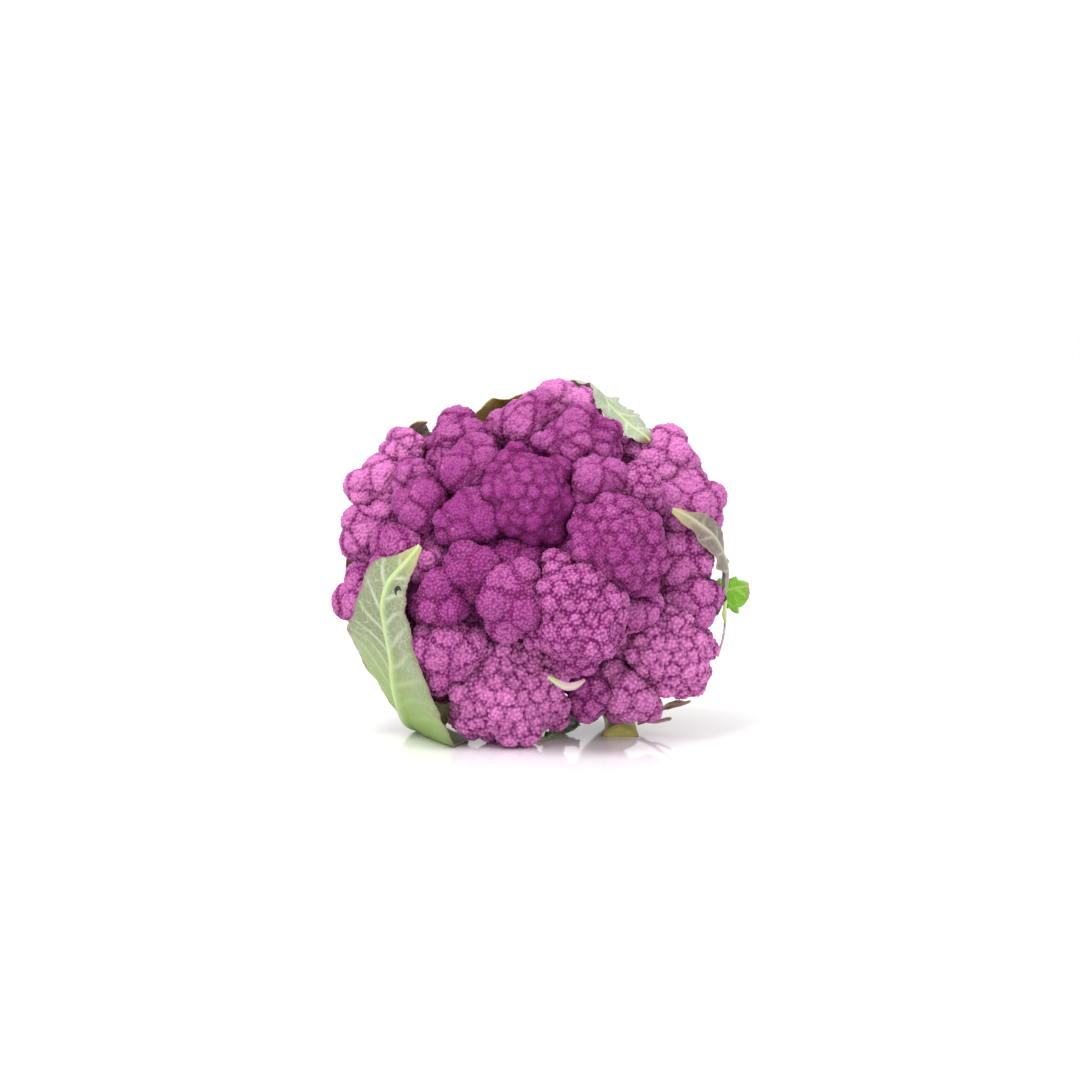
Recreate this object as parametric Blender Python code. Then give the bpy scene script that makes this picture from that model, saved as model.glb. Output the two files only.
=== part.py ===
"""A whole purple cauliflower lying on its side: curd, stalk and the few leaves left on it.

The curd faces the front (-Y) and up. Each floret is a ball of rounded knobs on its own
branch, cut flat where it meets the next one. X is across, +Y is back, +Z is up, and the
origin is the flat spot under the lowest floret.
"""

import math

import bmesh
import bpy
from mathutils import Vector

# Overall sizes of the head
HEAD_WIDTH = 0.165
HEAD_DEPTH = 0.130
HEAD_HEIGHT = 0.151
AXIS_TILT = math.radians(25.0)  # the stalk runs back and down from the middle of the head

# Where the middle of the head is, from the resting spot
HEAD_RIGHT = 0.008
HEAD_BACK = 0.031
HEAD_UP = 0.48 * HEAD_HEIGHT

# Florets
PLUMPNESS = 1.16  # how much larger each floret is than the space it is given
KNOB_SUNK = 0.62  # how much of each knob is sunk in its floret, as a part of the knob's radius
CORE = 0.88  # ball that the knobs grow from, as a part of the floret's radius
SOFTENING = 0.10  # how far the dips between knobs are filled
FILL_KNOB = 0.36  # knob on the sides nobody chose knobs for, as a part of the floret's radius
FILL_KNOBS = 40
COARSE_UNDER = 0.125  # florets no larger than this, in mean head radii, have a coarser mesh
PIECE_GAP = 0.0003  # between any two pieces that touch

# Stalk
STALK_RADIUS = 0.0185
STALK_BACK = 0.064  # from the middle of the head to the cut end
STALK_CHAMFER = 0.0020
CROWN_BACK = 0.018  # from the middle of the head to the point the branches grow from
CROWN_RADIUS = 0.024

# Leaves
LEAF_GAP = 0.0020  # between a leaf and the knobs under it
BLADE_THICKNESS = 0.0012
RIB_THICKNESS = 0.0045
RIB_WIDTH = 0.0032  # half the width of a midrib
STEM_HALF = 0.07  # half the width of a leaf stem at the stalk, in mean head radii
STEM_START = 0.006  # how far a leaf stem runs straight out from the stalk
LEAF_STEPS = 2  # rings between two stations of a leaf
LEAF_ACROSS = (-1.0, -0.5, -0.18, 0.18, 0.5, 1.0)
STUB_SIDES = 12

HEAD = Vector((HEAD_RIGHT, HEAD_BACK, HEAD_UP))
HALF = Vector((HEAD_WIDTH / 2, HEAD_DEPTH / 2, HEAD_HEIGHT / 2))
MEAN_RADIUS = (HEAD_WIDTH + HEAD_HEIGHT) / 4
AXIS = Vector((0.0, -math.cos(AXIS_TILT), math.sin(AXIS_TILT)))
SIDE_UP = Vector((0.0, math.sin(AXIS_TILT), math.cos(AXIS_TILT)))  # square to the axis
ROOT = HEAD - AXIS * CROWN_BACK

# name: across, back and up from the middle of the head in half sizes of the head, radius in
# mean head radii, and the knobs of its front: across, up and radius in radii of the floret
FLORETS = {
    "floret_apex": (-0.02, -0.44, 0.40, 0.25, [
        (0.00, 0.50, 0.28), (0.62, 0.58, 0.28), (-0.50, 0.64, 0.24), (0.30, 0.24, 0.30),
        (-0.20, 0.24, 0.30), (-0.62, 0.24, 0.22), (0.10, -0.16, 0.30), (-0.36, -0.22, 0.26),
        (0.70, -0.16, 0.30), (0.46, -0.60, 0.36), (-0.06, -0.64, 0.32), (-0.46, -0.64, 0.30)]),
    "floret_upper_middle": (0.22, -0.17, 0.68, 0.19, [
        (0.08, 0.21, 0.39), (0.82, 0.26, 0.45), (0.63, -0.21, 0.42), (-0.63, 0.05, 0.42),
        (-1.05, -0.18, 0.34), (1.05, -0.32, 0.24), (-0.45, -0.24, 0.32)]),
    "floret_upper_inner": (0.03, -0.04, 0.79, 0.15, [
        (0.83, 0.10, 0.53), (-0.30, -0.07, 0.63), (-0.83, -0.43, 0.43), (-1.05, 0.07, 0.37)]),
    "floret_top": (0.17, 0.18, 0.86, 0.16, [
        (-0.29, 0.29, 0.61), (0.65, 0.10, 0.55), (-1.00, 0.10, 0.42), (1.05, -0.36, 0.29)]),
    "floret_right_inner": (0.32, -0.45, 0.49, 0.13, [
        (0.00, 0.15, 0.69), (-0.38, -0.42, 0.46), (0.42, -0.31, 0.46), (0.85, 0.46, 0.42),
        (-0.58, 0.08, 0.35)]),
    "floret_left_inner": (-0.30, -0.35, 0.54, 0.17, [
        (-0.44, 0.18, 0.50), (0.53, 0.27, 0.44), (-0.15, -0.47, 0.38), (0.41, -0.71, 0.38),
        (-0.71, -0.24, 0.32), (0.79, -0.15, 0.29)]),
    "floret_under_left": (-0.30, -0.59, 0.31, 0.14, [
        (-0.64, 0.07, 0.61), (0.39, -0.11, 0.54), (-0.25, -0.54, 0.43), (-0.79, -0.54, 0.39)]),
    "floret_left_front": (-0.53, -0.44, 0.38, 0.13, [
        (0.12, 0.39, 0.54), (0.58, 0.08, 0.42), (-0.31, -0.27, 0.54), (-0.46, -0.81, 0.46),
        (0.00, -0.58, 0.38)]),
    "floret_upper_left": (-0.35, 0.10, 0.66, 0.18, [
        (0.28, 0.42, 0.42), (0.83, 0.31, 0.31), (-0.22, 0.25, 0.39), (0.56, -0.17, 0.39),
        (-0.56, -0.36, 0.39), (-0.83, -0.14, 0.31), (-0.22, -0.22, 0.25)]),
    "floret_left_shoulder": (-0.65, 0.09, 0.64, 0.11, [
        (0.27, 0.50, 0.50), (0.18, -0.14, 0.50), (-0.55, -0.14, 0.55)]),
    "floret_left_middle": (-0.60, -0.26, 0.50, 0.11, [
        (0.09, 0.23, 0.68), (-0.18, -0.46, 0.55), (0.59, 0.00, 0.45), (-0.60, -0.95, 0.32)]),
    "floret_left_upper": (-0.78, 0.03, 0.44, 0.15, [
        (0.30, 0.27, 0.50), (0.43, -0.30, 0.37), (-0.40, 0.27, 0.40), (-0.47, -0.30, 0.43),
        (0.20, 0.80, 0.33)]),
    "floret_left_side": (-0.82, -0.06, 0.20, 0.15, [
        (0.24, 0.60, 0.40), (0.67, 0.37, 0.33), (-0.13, -0.13, 0.53), (-0.53, 0.33, 0.37),
        (0.03, -0.67, 0.40), (-0.57, -0.27, 0.30)]),
    "floret_left_lower": (-0.65, -0.46, 0.09, 0.15, [
        (-0.17, 0.37, 0.50), (0.93, 0.37, 0.47), (-0.50, -0.20, 0.43), (0.20, -0.47, 0.40),
        (0.43, 0.13, 0.33)]),
    "floret_left_rim": (-0.81, -0.15, -0.19, 0.17, [
        (-0.29, 0.71, 0.44), (-0.35, -0.09, 0.47), (-0.06, -0.74, 0.38), (-0.53, 0.30, 0.26),
        (0.18, 0.06, 0.41)]),
    "floret_behind_leaf": (-0.51, -0.58, 0.02, 0.10, [
        (-0.20, 0.20, 0.55), (0.60, 0.60, 0.45), (-0.05, -0.60, 0.50)]),
    "floret_middle_left": (-0.43, -0.69, -0.13, 0.15, [
        (-0.17, 0.42, 0.45), (0.24, -0.10, 0.52), (-0.38, -0.28, 0.41), (0.41, 0.42, 0.34),
        (0.07, -0.66, 0.38)]),
    "floret_middle_small": (-0.28, -0.73, 0.04, 0.13, [
        (-0.42, 0.70, 0.46), (0.27, 0.27, 0.50), (-0.04, -0.62, 0.54), (-0.46, 0.00, 0.35),
        (0.46, -0.39, 0.35)]),
    "floret_middle_deep": (-0.09, -0.56, 0.10, 0.15, [
        (-0.73, 0.13, 0.40), (-0.20, 0.07, 0.33), (0.63, 0.00, 0.33), (1.00, 0.00, 0.30)]),
    "floret_centre_left": (-0.08, -0.80, -0.12, 0.17, [
        (-0.32, 0.59, 0.38), (0.32, 0.65, 0.41), (-0.47, 0.00, 0.35), (0.29, -0.15, 0.41),
        (-0.06, -0.71, 0.35), (0.62, 0.24, 0.32)]),
    "floret_centre": (0.23, -0.75, -0.19, 0.25, [
        (-0.44, 0.89, 0.32), (-0.38, 0.34, 0.34), (0.16, 0.56, 0.34), (0.60, 0.16, 0.34),
        (-0.26, -0.32, 0.34), (0.34, -0.36, 0.36), (0.04, -0.77, 0.42), (0.58, -0.56, 0.22),
        (-0.70, -0.40, 0.24)]),
    "floret_right_centre": (0.43, -0.60, 0.15, 0.25, [
        (-0.65, 0.47, 0.33), (-0.08, 0.68, 0.35), (0.53, 0.39, 0.33), (-0.53, -0.04, 0.33),
        (0.14, -0.06, 0.37), (0.69, -0.14, 0.27), (0.45, -0.68, 0.35), (-0.22, -0.51, 0.29),
        (0.16, 0.33, 0.24)]),
    "floret_right_front": (0.56, -0.37, 0.46, 0.12, [
        (-0.21, 0.17, 0.58), (0.38, -0.21, 0.46), (-0.33, -0.54, 0.38), (0.42, 0.33, 0.33)]),
    "floret_upper_right": (0.70, 0.09, 0.56, 0.17, [
        (-0.42, 0.18, 0.42), (0.00, -0.30, 0.39), (0.64, 0.03, 0.36), (-0.70, 0.61, 0.36),
        (0.79, -0.49, 0.33), (-0.27, 0.61, 0.33), (0.36, 0.43, 0.30)]),
    "floret_right_upper": (0.80, -0.03, 0.34, 0.18, [
        (-0.43, 0.20, 0.43), (0.40, 0.03, 0.37), (-0.57, -0.34, 0.34), (0.66, -0.40, 0.31),
        (0.34, 0.52, 0.31), (-0.06, -0.40, 0.34)]),
    "floret_right_middle": (0.78, -0.12, 0.08, 0.15, [
        (-0.33, 0.27, 0.40), (0.20, -0.07, 0.40), (-0.06, -0.50, 0.37), (-0.20, 0.70, 0.37),
        (0.43, 0.44, 0.37)]),
    "floret_right_lower": (0.82, -0.12, -0.20, 0.15, [
        (-0.37, 0.13, 0.47), (0.23, 0.47, 0.40), (0.37, -0.34, 0.40), (-0.80, 0.50, 0.33),
        (0.40, 0.07, 0.30)]),
    "floret_middle_right": (0.53, -0.51, -0.22, 0.09, [
        (-0.13, 0.00, 0.69), (1.00, 0.38, 0.56)]),
    "floret_bottom_right": (0.69, -0.17, -0.47, 0.24, [
        (-0.30, 0.00, 0.39), (0.24, 0.64, 0.30), (-0.20, 0.48, 0.22), (0.56, 0.22, 0.24),
        (0.35, -0.22, 0.28), (-0.52, -0.44, 0.30), (-0.78, -0.11, 0.24), (-0.08, -0.57, 0.28),
        (0.61, -0.33, 0.24), (0.85, 0.09, 0.24)]),
    "floret_bottom_right_low": (0.51, -0.22, -0.67, 0.18, [
        (-0.28, -0.11, 0.47), (0.33, -0.17, 0.39), (-0.50, 0.34, 0.33), (0.75, 0.06, 0.33),
        (0.11, 0.31, 0.33), (-0.08, -0.51, 0.31), (-0.86, -0.17, 0.25)]),
    "floret_bottom_left": (-0.12, -0.40, -0.66, 0.29, [
        (-0.60, 0.14, 0.33), (-0.11, 0.64, 0.31), (0.65, 0.23, 0.38), (-0.02, -0.10, 0.29),
        (0.17, -0.62, 0.33), (-0.60, -0.43, 0.31), (0.85, -0.35, 0.29), (-0.31, 0.27, 0.17),
        (0.40, 0.68, 0.19)]),
    "floret_low_left": (-0.42, -0.64, -0.40, 0.165, [
        (0.10, 0.27, 0.50), (-0.17, -0.67, 0.43), (-0.63, -0.07, 0.40), (0.67, 0.27, 0.37),
        (-0.40, -1.00, 0.33)]),
    "floret_bottom_middle": (0.31, -0.34, -0.70, 0.12, [
        (-0.17, -0.59, 0.54), (0.42, 0.17, 0.46), (0.00, 0.93, 0.46), (-0.83, 0.93, 0.42)]),
    "floret_back_top": (-0.06, 0.42, 0.62, 0.23, []),
    "floret_back_right_upper": (0.52, 0.42, 0.38, 0.25, []),
    "floret_back_left_upper": (-0.58, 0.42, 0.38, 0.25, []),
    "floret_back_right": (0.70, 0.30, -0.06, 0.24, []),
    "floret_back_left": (-0.68, 0.28, -0.06, 0.24, []),
    "floret_bottom_back_right": (0.32, 0.16, -0.55, 0.23, []),
    "floret_bottom_back_left": (-0.46, 0.08, -0.52, 0.25, []),
}

# name: where it leaves the stalk (degrees round it from the right, distance back from the
# middle of the head), then stations from the stalk to the tip: across, back and up in half
# sizes of the head, and the half widths on its two sides in mean head radii. A last entry
# is the way the outer part of the leaf has turned to face
LEAVES = {
    "leaf_left": (222, 0.040, [
        (-0.36, 0.46, -0.74, 0.08, 0.08), (-0.52, 0.22, -0.91, 0.07, 0.10),
        (-0.62, -0.02, -0.90, 0.06, 0.26), (-0.66, -0.24, -0.77, 0.18, 0.32),
        (-0.68, -0.38, -0.61, 0.35, 0.29), (-0.68, -0.50, -0.45, 0.38, 0.22),
        (-0.70, -0.58, -0.30, 0.27, 0.15), (-0.72, -0.64, -0.16, 0.20, 0.14),
        (-0.69, -0.70, -0.03, 0.15, 0.10), (-0.62, -0.76, 0.07, 0.08, 0.05),
        (-0.54, -0.80, 0.18, 0.015, 0.015)]),
    "leaf_right": (350, 0.040, [
        (0.56, 0.78, -0.24, 0.08, 0.08), (0.88, 0.50, -0.25, 0.09, 0.09),
        (0.98, 0.20, -0.24, 0.07, 0.07), (1.00, 0.09, -0.16, 0.09, 0.08),
        (1.01, -0.02, -0.04, 0.11, 0.09), (0.98, -0.11, 0.06, 0.11, 0.09),
        (0.93, -0.20, 0.14, 0.10, 0.08), (0.86, -0.28, 0.22, 0.08, 0.05),
        (0.78, -0.34, 0.30, 0.05, 0.03), (0.72, -0.37, 0.34, 0.02, 0.02)]),
    "leaf_top_right": (68, 0.040, [
        (0.14, 0.74, 0.48, 0.09, 0.09), (0.22, 0.60, 0.80, 0.08, 0.08),
        (0.27, 0.43, 0.97, 0.08, 0.08), (0.34, 0.30, 0.92, 0.10, 0.10),
        (0.42, 0.20, 0.85, 0.11, 0.12), (0.50, 0.11, 0.78, 0.10, 0.11),
        (0.56, 0.04, 0.71, 0.08, 0.08), (0.61, -0.03, 0.64, 0.02, 0.02)], (0.25, -0.85, 0.35)),
    "leaf_top_back": (108, 0.040, [
        (-0.12, 0.82, 0.44, 0.10, 0.12), (-0.14, 0.74, 0.58, 0.10, 0.22),
        (-0.10, 0.64, 0.68, 0.10, 0.25), (-0.02, 0.58, 0.77, 0.07, 0.20),
        (0.07, 0.54, 0.86, 0.04, 0.11), (0.14, 0.52, 0.92, 0.02, 0.02)]),
    "leaf_back_right": (30, 0.040, [
        (0.34, 0.78, 0.30, 0.11, 0.10), (0.56, 0.70, 0.46, 0.17, 0.16),
        (0.68, 0.54, 0.62, 0.14, 0.14), (0.71, 0.34, 0.71, 0.03, 0.03)]),
    "leaf_back_left": (147, 0.040, [
        (-0.38, 0.82, 0.26, 0.13, 0.13), (-0.56, 0.71, 0.46, 0.18, 0.18),
        (-0.62, 0.52, 0.64, 0.14, 0.14), (-0.55, 0.31, 0.77, 0.03, 0.03)]),
    "leaf_side_left": (186, 0.040, [
        (-0.44, 0.78, -0.16, 0.11, 0.11), (-0.72, 0.64, -0.08, 0.17, 0.17),
        (-0.88, 0.44, -0.02, 0.15, 0.15), (-0.93, 0.28, 0.06, 0.04, 0.04)]),
    "leaf_under": (284, 0.036, [
        (0.12, 0.50, -0.78, 0.06, 0.06), (0.17, 0.20, -0.90, 0.07, 0.07),
        (0.17, -0.10, -0.92, 0.08, 0.09), (0.11, -0.28, -0.93, 0.06, 0.06),
        (0.03, -0.40, -0.93, 0.02, 0.02)]),
}

# Small leaves between the florets and torn ends, which aren't joined to the stalk: stations
# as above, and which way the piece faces
SCRAPS = {
    "leaf_torn_bright": ((0, -1, 0), [
        (0.92, 0.60, -0.26, 0.03, 0.03), (0.98, 0.56, -0.23, 0.05, 0.05),
        (1.03, 0.52, -0.20, 0.08, 0.09),
        (1.10, 0.50, -0.18, 0.07, 0.10), (1.16, 0.48, -0.17, 0.02, 0.05)]),
    "bract_right": (None, [
        (0.91, -0.12, -0.23, 0.01, 0.01), (0.97, -0.06, -0.32, 0.04, 0.04),
        (0.99, -0.03, -0.41, 0.04, 0.04), (0.97, -0.02, -0.52, 0.01, 0.01)]),
    "bract_front": (None, [
        (0.10, -0.86, -0.53, 0.010, 0.010), (0.14, -0.89, -0.56, 0.023, 0.023),
        (0.19, -0.91, -0.58, 0.028, 0.028), (0.24, -0.89, -0.57, 0.025, 0.025),
        (0.27, -0.85, -0.55, 0.010, 0.010)]),
    "leaf_torn_brown": (None, [
        (0.58, 0.18, -0.90, 0.02, 0.02), (0.65, 0.12, -0.86, 0.03, 0.03),
        (0.72, 0.05, -0.81, 0.03, 0.03), (0.78, -0.02, -0.79, 0.03, 0.03),
        (0.83, -0.06, -0.77, 0.01, 0.01)]),
    "leaf_torn_lilac": (None, [
        (0.56, 0.04, -0.91, 0.02, 0.02), (0.62, 0.03, -0.89, 0.03, 0.03),
        (0.67, 0.00, -0.89, 0.03, 0.03), (0.73, -0.05, -0.87, 0.01, 0.01)]),
}

# Cut ends of leaf stems: where they leave the stalk, as above, then stations to the cut end:
# across, back and up in half sizes of the head, and the radius in mean head radii
STUBS = {
    "stem_stub_front": (316, 0.048, [
        (0.34, 0.70, -0.72, 0.075), (0.46, 0.30, -0.90, 0.080), (0.47, -0.18, -0.99, 0.105)]),
    "stem_stub_back": (258, 0.046, [
        (-0.09, 0.66, -0.74, 0.075), (-0.10, 0.62, -1.04, 0.090)]),
    "stem_stub_right": (12, 0.055, [(0.38, 0.96, -0.12, 0.075), (0.46, 0.92, -0.04, 0.070)]),
}


def in_head(across, back, up):
    return HEAD + Vector((across * HALF.x, back * HALF.y, up * HALF.z))


def golden_directions(count):
    turn = math.pi * (3.0 - math.sqrt(5.0))
    directions = []
    for i in range(count):
        z = 1.0 - (2.0 * i + 1.0) / count
        ring = math.sqrt(1.0 - z * z)
        directions.append(Vector((ring * math.cos(i * turn), ring * math.sin(i * turn), z)))
    return directions


def knobs_of(row):
    """Centre and radius of each ball that makes one floret."""
    centre = in_head(*row[:3])
    radius = row[3] * MEAN_RADIUS * PLUMPNESS
    outward = (centre - ROOT).normalized()
    balls = []
    for across, up, size in row[4]:
        reach = 1.0 - KNOB_SUNK * size
        sunk = max(0.0, reach * reach - across * across - up * up)
        balls.append((Vector((across, -math.sqrt(sunk), up)), size))
    for direction in golden_directions(FILL_KNOBS):
        if direction.dot(outward) < -0.15:
            continue
        spot = direction * (1.0 - KNOB_SUNK * FILL_KNOB)
        if all((spot - ball).length > 0.85 * (size + FILL_KNOB) for ball, size in balls):
            balls.append((spot, FILL_KNOB))
    return [(centre + ball * radius, size * radius) for ball, size in balls]


def reach_along(centre, direction, core, balls):
    """Distance from centre to the outside of the balls in one direction."""
    far = core
    for ball, radius in balls:
        offset = ball - centre
        along = direction.dot(offset)
        under = along * along - offset.length_squared + radius * radius
        if under > 0.0:
            far = max(far, along + math.sqrt(under))
    return far


def cut_flat(bm, point, normal):
    """Takes away what is beyond the plane and closes the cut."""
    geometry = bm.verts[:] + bm.edges[:] + bm.faces[:]
    bmesh.ops.bisect_plane(
        bm, geom=geometry, dist=1e-7, plane_co=point, plane_no=normal, clear_outer=True)
    rim = [edge for edge in bm.edges if edge.is_boundary]
    if rim:
        bmesh.ops.holes_fill(bm, edges=rim, sides=0)


def drop_crumbs(bm):
    """Keeps the largest connected piece, where a cut left the tip of a knob on its own."""
    left = set(bm.verts)
    islands = []
    while left:
        island = [left.pop()]
        for vert in island:
            for edge in vert.link_edges:
                near = edge.other_vert(vert)
                if near in left:
                    left.remove(near)
                    island.append(near)
        islands.append(island)
    islands.sort(key=len)
    for island in islands[:-1]:
        bmesh.ops.delete(bm, geom=island, context="VERTS")


def material(name, colour, roughness):
    made = bpy.data.materials.new(name)
    made.use_nodes = True
    shader = made.node_tree.nodes["Principled BSDF"]
    shader.inputs["Base Color"].default_value = (*colour, 1.0)
    shader.inputs["Roughness"].default_value = roughness
    shader.inputs["Metallic"].default_value = 0.0
    made.diffuse_color = (*colour, 1.0)
    return made


def add_piece(name, bm, colour, roughness):
    bmesh.ops.recalc_face_normals(bm, faces=bm.faces[:])
    mesh = bpy.data.meshes.new(name)
    bm.to_mesh(mesh)
    bm.free()
    mesh.materials.append(material(name, colour, roughness))
    piece = bpy.data.objects.new(name, mesh)
    head.objects.link(piece)
    return piece


for old in list(bpy.data.objects):
    bpy.data.objects.remove(old, do_unlink=True)
head = bpy.data.collections.new("purple_cauliflower")
bpy.context.scene.collection.children.link(head)

centres = {name: in_head(*row[:3]) for name, row in FLORETS.items()}
radii = {name: row[3] * MEAN_RADIUS * PLUMPNESS for name, row in FLORETS.items()}
knobs = {name: knobs_of(row) for name, row in FLORETS.items()}


def base_plane(name):
    """Where the branch of one floret ends: against the crown, or beside the stalk."""
    outward = centres[name] - ROOT
    along = outward.dot(AXIS)
    if along > 0.45 * outward.length:
        normal = outward.normalized()
        return ROOT + normal * CROWN_RADIUS, normal
    normal = (outward - AXIS * along).normalized()
    return ROOT + normal * CROWN_RADIUS, normal


def branch_of(name):
    """Balls that taper from the middle of a floret towards the crown."""
    inward = ROOT - centres[name]
    sizes = ((0.3, 0.85), (0.6, 0.72), (0.9, 0.60))
    return [(centres[name] + inward * part, size * radii[name]) for part, size in sizes]


def build_floret(name):
    centre = centres[name]
    core = CORE * radii[name]
    balls = knobs[name] + branch_of(name)
    bm = bmesh.new()
    fine = bool(FLORETS[name][4]) and FLORETS[name][3] > COARSE_UNDER
    bmesh.ops.create_icosphere(bm, subdivisions=3 if fine else 2, radius=1.0)
    for vert in bm.verts:
        direction = vert.co.normalized()
        vert.co = centre + direction * reach_along(centre, direction, core, balls)
    bmesh.ops.smooth_vert(
        bm, verts=bm.verts[:], factor=SOFTENING, use_axis_x=True, use_axis_y=True, use_axis_z=True)
    for other in FLORETS:
        if other == name:
            continue
        between = centres[other] - centre
        span = between.length
        share = (span * span + radii[name] ** 2 - radii[other] ** 2) / (2.0 * span)
        normal = between.normalized()
        cut_flat(bm, centre + normal * (share - PIECE_GAP / 2), normal)
    point, normal = base_plane(name)
    cut_flat(bm, point + normal * PIECE_GAP / 2, -normal)
    cut_flat(bm, Vector((0.0, 0.0, 0.0)), Vector((0.0, 0.0, -1.0)))
    drop_crumbs(bm)
    return bm


def build_stalk():
    """A turned crown and stalk, with a flat for each branch that leaves the crown."""
    profile = (
        (-STALK_BACK, 0.0), (-STALK_BACK, STALK_RADIUS - STALK_CHAMFER),
        (-STALK_BACK + STALK_CHAMFER, STALK_RADIUS), (-CROWN_BACK, STALK_RADIUS),
        (-CROWN_BACK + 0.45 * CROWN_RADIUS, 0.89 * CROWN_RADIUS),
        (-CROWN_BACK + 0.80 * CROWN_RADIUS, 0.60 * CROWN_RADIUS),
        (-CROWN_BACK + CROWN_RADIUS, 0.0))
    bm = bmesh.new()
    verts = [bm.verts.new(HEAD + AXIS * along + SIDE_UP * out) for along, out in profile]
    edges = [bm.edges.new(pair) for pair in zip(verts, verts[1:])]
    bmesh.ops.spin(
        bm, geom=verts + edges, cent=HEAD, axis=AXIS, angle=2.0 * math.pi, steps=28,
        use_merge=True)
    bmesh.ops.remove_doubles(bm, verts=bm.verts[:], dist=1e-6)
    for name in FLORETS:
        point, normal = base_plane(name)
        cut_flat(bm, point - normal * PIECE_GAP / 2, normal)
    return bm


def on_stalk(clock, back):
    """A point just off the stalk's side, and the way straight out from it."""
    out = Vector((1.0, 0.0, 0.0)) * math.cos(clock) + SIDE_UP * math.sin(clock)
    return HEAD - AXIS * back + out * (STALK_RADIUS + PIECE_GAP), out


def through(stations, steps):
    """Points on a smooth line through the stations, each a tuple of numbers."""
    line = []
    last = len(stations) - 1
    for i in range(last):
        before = stations[max(i - 1, 0)]
        after = stations[min(i + 2, last)]
        for k in range(steps):
            t = k / steps
            line.append(tuple(
                0.5 * (2 * b + (c - a) * t + (2 * a - 5 * b + 4 * c - d) * t ** 2
                       + (3 * b - a - 3 * c + d) * t ** 3)
                for a, b, c, d in zip(before, stations[i], stations[i + 1], after)))
    line.append(stations[last])
    return line


def needed_push(point, way):
    """How far a point has to move along way to be clear of the curd."""
    push = 0.0
    for ball, radius in curd_balls:
        offset = ball - point
        clear = radius + LEAF_GAP
        if offset.length < clear:
            along = way.dot(offset)
            push = max(push, along + math.sqrt(along * along - offset.length_squared + clear ** 2))
    return push


def spread(pushes):
    """The least smooth field of pushes that is nowhere below the ones needed."""
    field = [row[:] for row in pushes]
    rows, columns = len(field), len(field[0])
    for _ in range(6):
        smooth = []
        for i in range(rows):
            smooth.append([])
            for j in range(columns):
                near = [field[min(max(i + a, 0), rows - 1)][min(max(j + b, 0), columns - 1)]
                        for a in (-1, 0, 1) for b in (-1, 0, 1)]
                smooth[i].append(max(pushes[i][j], 0.96 * sum(near) / 9))
        field = smooth
    return field


def skin(rings):
    """A closed solid through rings of points, its ends closed by strips across them."""
    bm = bmesh.new()
    rows = [[bm.verts.new(point) for point in ring] for ring in rings]
    count = len(rows[0])
    for low, high in zip(rows, rows[1:]):
        for j in range(count):
            k = (j + 1) % count
            bm.faces.new((low[j], low[k], high[k], high[j]))
    for row in (rows[0], rows[-1]):
        for j in range(count // 2 - 1):
            bm.faces.new((row[j], row[j + 1], row[count - 2 - j], row[count - 1 - j]))
    return bm


def build_blade(line, first_tangent, facing, turned_by):
    """A leaf along line, thick at its midrib, laid over the curd.

    It faces straight out from the head, or turns to facing by the share turned_by of its length.
    """
    spots = [Vector(step[:3]) for step in line]
    tangents = []
    for i in range(len(line)):
        tangents.append((spots[min(i + 1, len(line) - 1)] - spots[max(i - 1, 0)]).normalized())
    if first_tangent:
        tangents[0] = first_tangent
    inner, normals, pushes = [], [], []
    for i, (spot, tangent, step) in enumerate(zip(spots, tangents, line)):
        out = (spot - HEAD).normalized()
        if facing:
            turned = min(1.0, i / (turned_by * len(line))) ** 3 if turned_by else 1.0
            out = out.lerp(Vector(facing).normalized(), turned)
        out = (out - tangent * out.dot(tangent)).normalized()
        side = out.cross(tangent)
        row = []
        for share in LEAF_ACROSS:
            row.append(spot + side * share * (step[4] if share < 0.0 else step[3]))
        inner.append(row)
        normals.append(out)
        pushes.append([needed_push(point, out) for point in row])
    if first_tangent:
        pushes[0] = [0.0] * len(LEAF_ACROSS)
    field = spread(pushes)
    if first_tangent:
        field[0] = [0.0] * len(LEAF_ACROSS)
    rings = []
    for row, normal, push, step in zip(inner, normals, field, line):
        near = [point + normal * shift for point, shift in zip(row, push)]
        rib = min(1.0, (step[3] + step[4]) / (4.0 * RIB_WIDTH))
        far = []
        for point, share in zip(near, LEAF_ACROSS):
            half = step[4] if share < 0.0 else step[3]
            thick = (RIB_THICKNESS - BLADE_THICKNESS) * rib
            thick *= math.exp(-(share * half / RIB_WIDTH) ** 2)
            far.append(point + normal * (BLADE_THICKNESS + thick))
        rings.append(near + far[::-1])
    return skin(rings)


def build_leaf(name):
    clock, back, stations = LEAVES[name][:3]
    facing = LEAVES[name][3] if len(LEAVES[name]) > 3 else None
    start, out = on_stalk(math.radians(clock), back)
    half = STEM_HALF * MEAN_RADIUS
    line = [(*start, half, half), (*(start + out * STEM_START), half, half)]
    for across, deep, up, left, right in stations:
        line.append((*in_head(across, deep, up), left * MEAN_RADIUS, right * MEAN_RADIUS))
    return build_blade([line[0]] + through(line[1:], LEAF_STEPS), out, facing, 0.6)


def build_scrap(name):
    facing, stations = SCRAPS[name]
    line = []
    for across, deep, up, left, right in stations:
        line.append((*in_head(across, deep, up), left * MEAN_RADIUS, right * MEAN_RADIUS))
    return build_blade(through(line, LEAF_STEPS), None, facing, 0.0)


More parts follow.
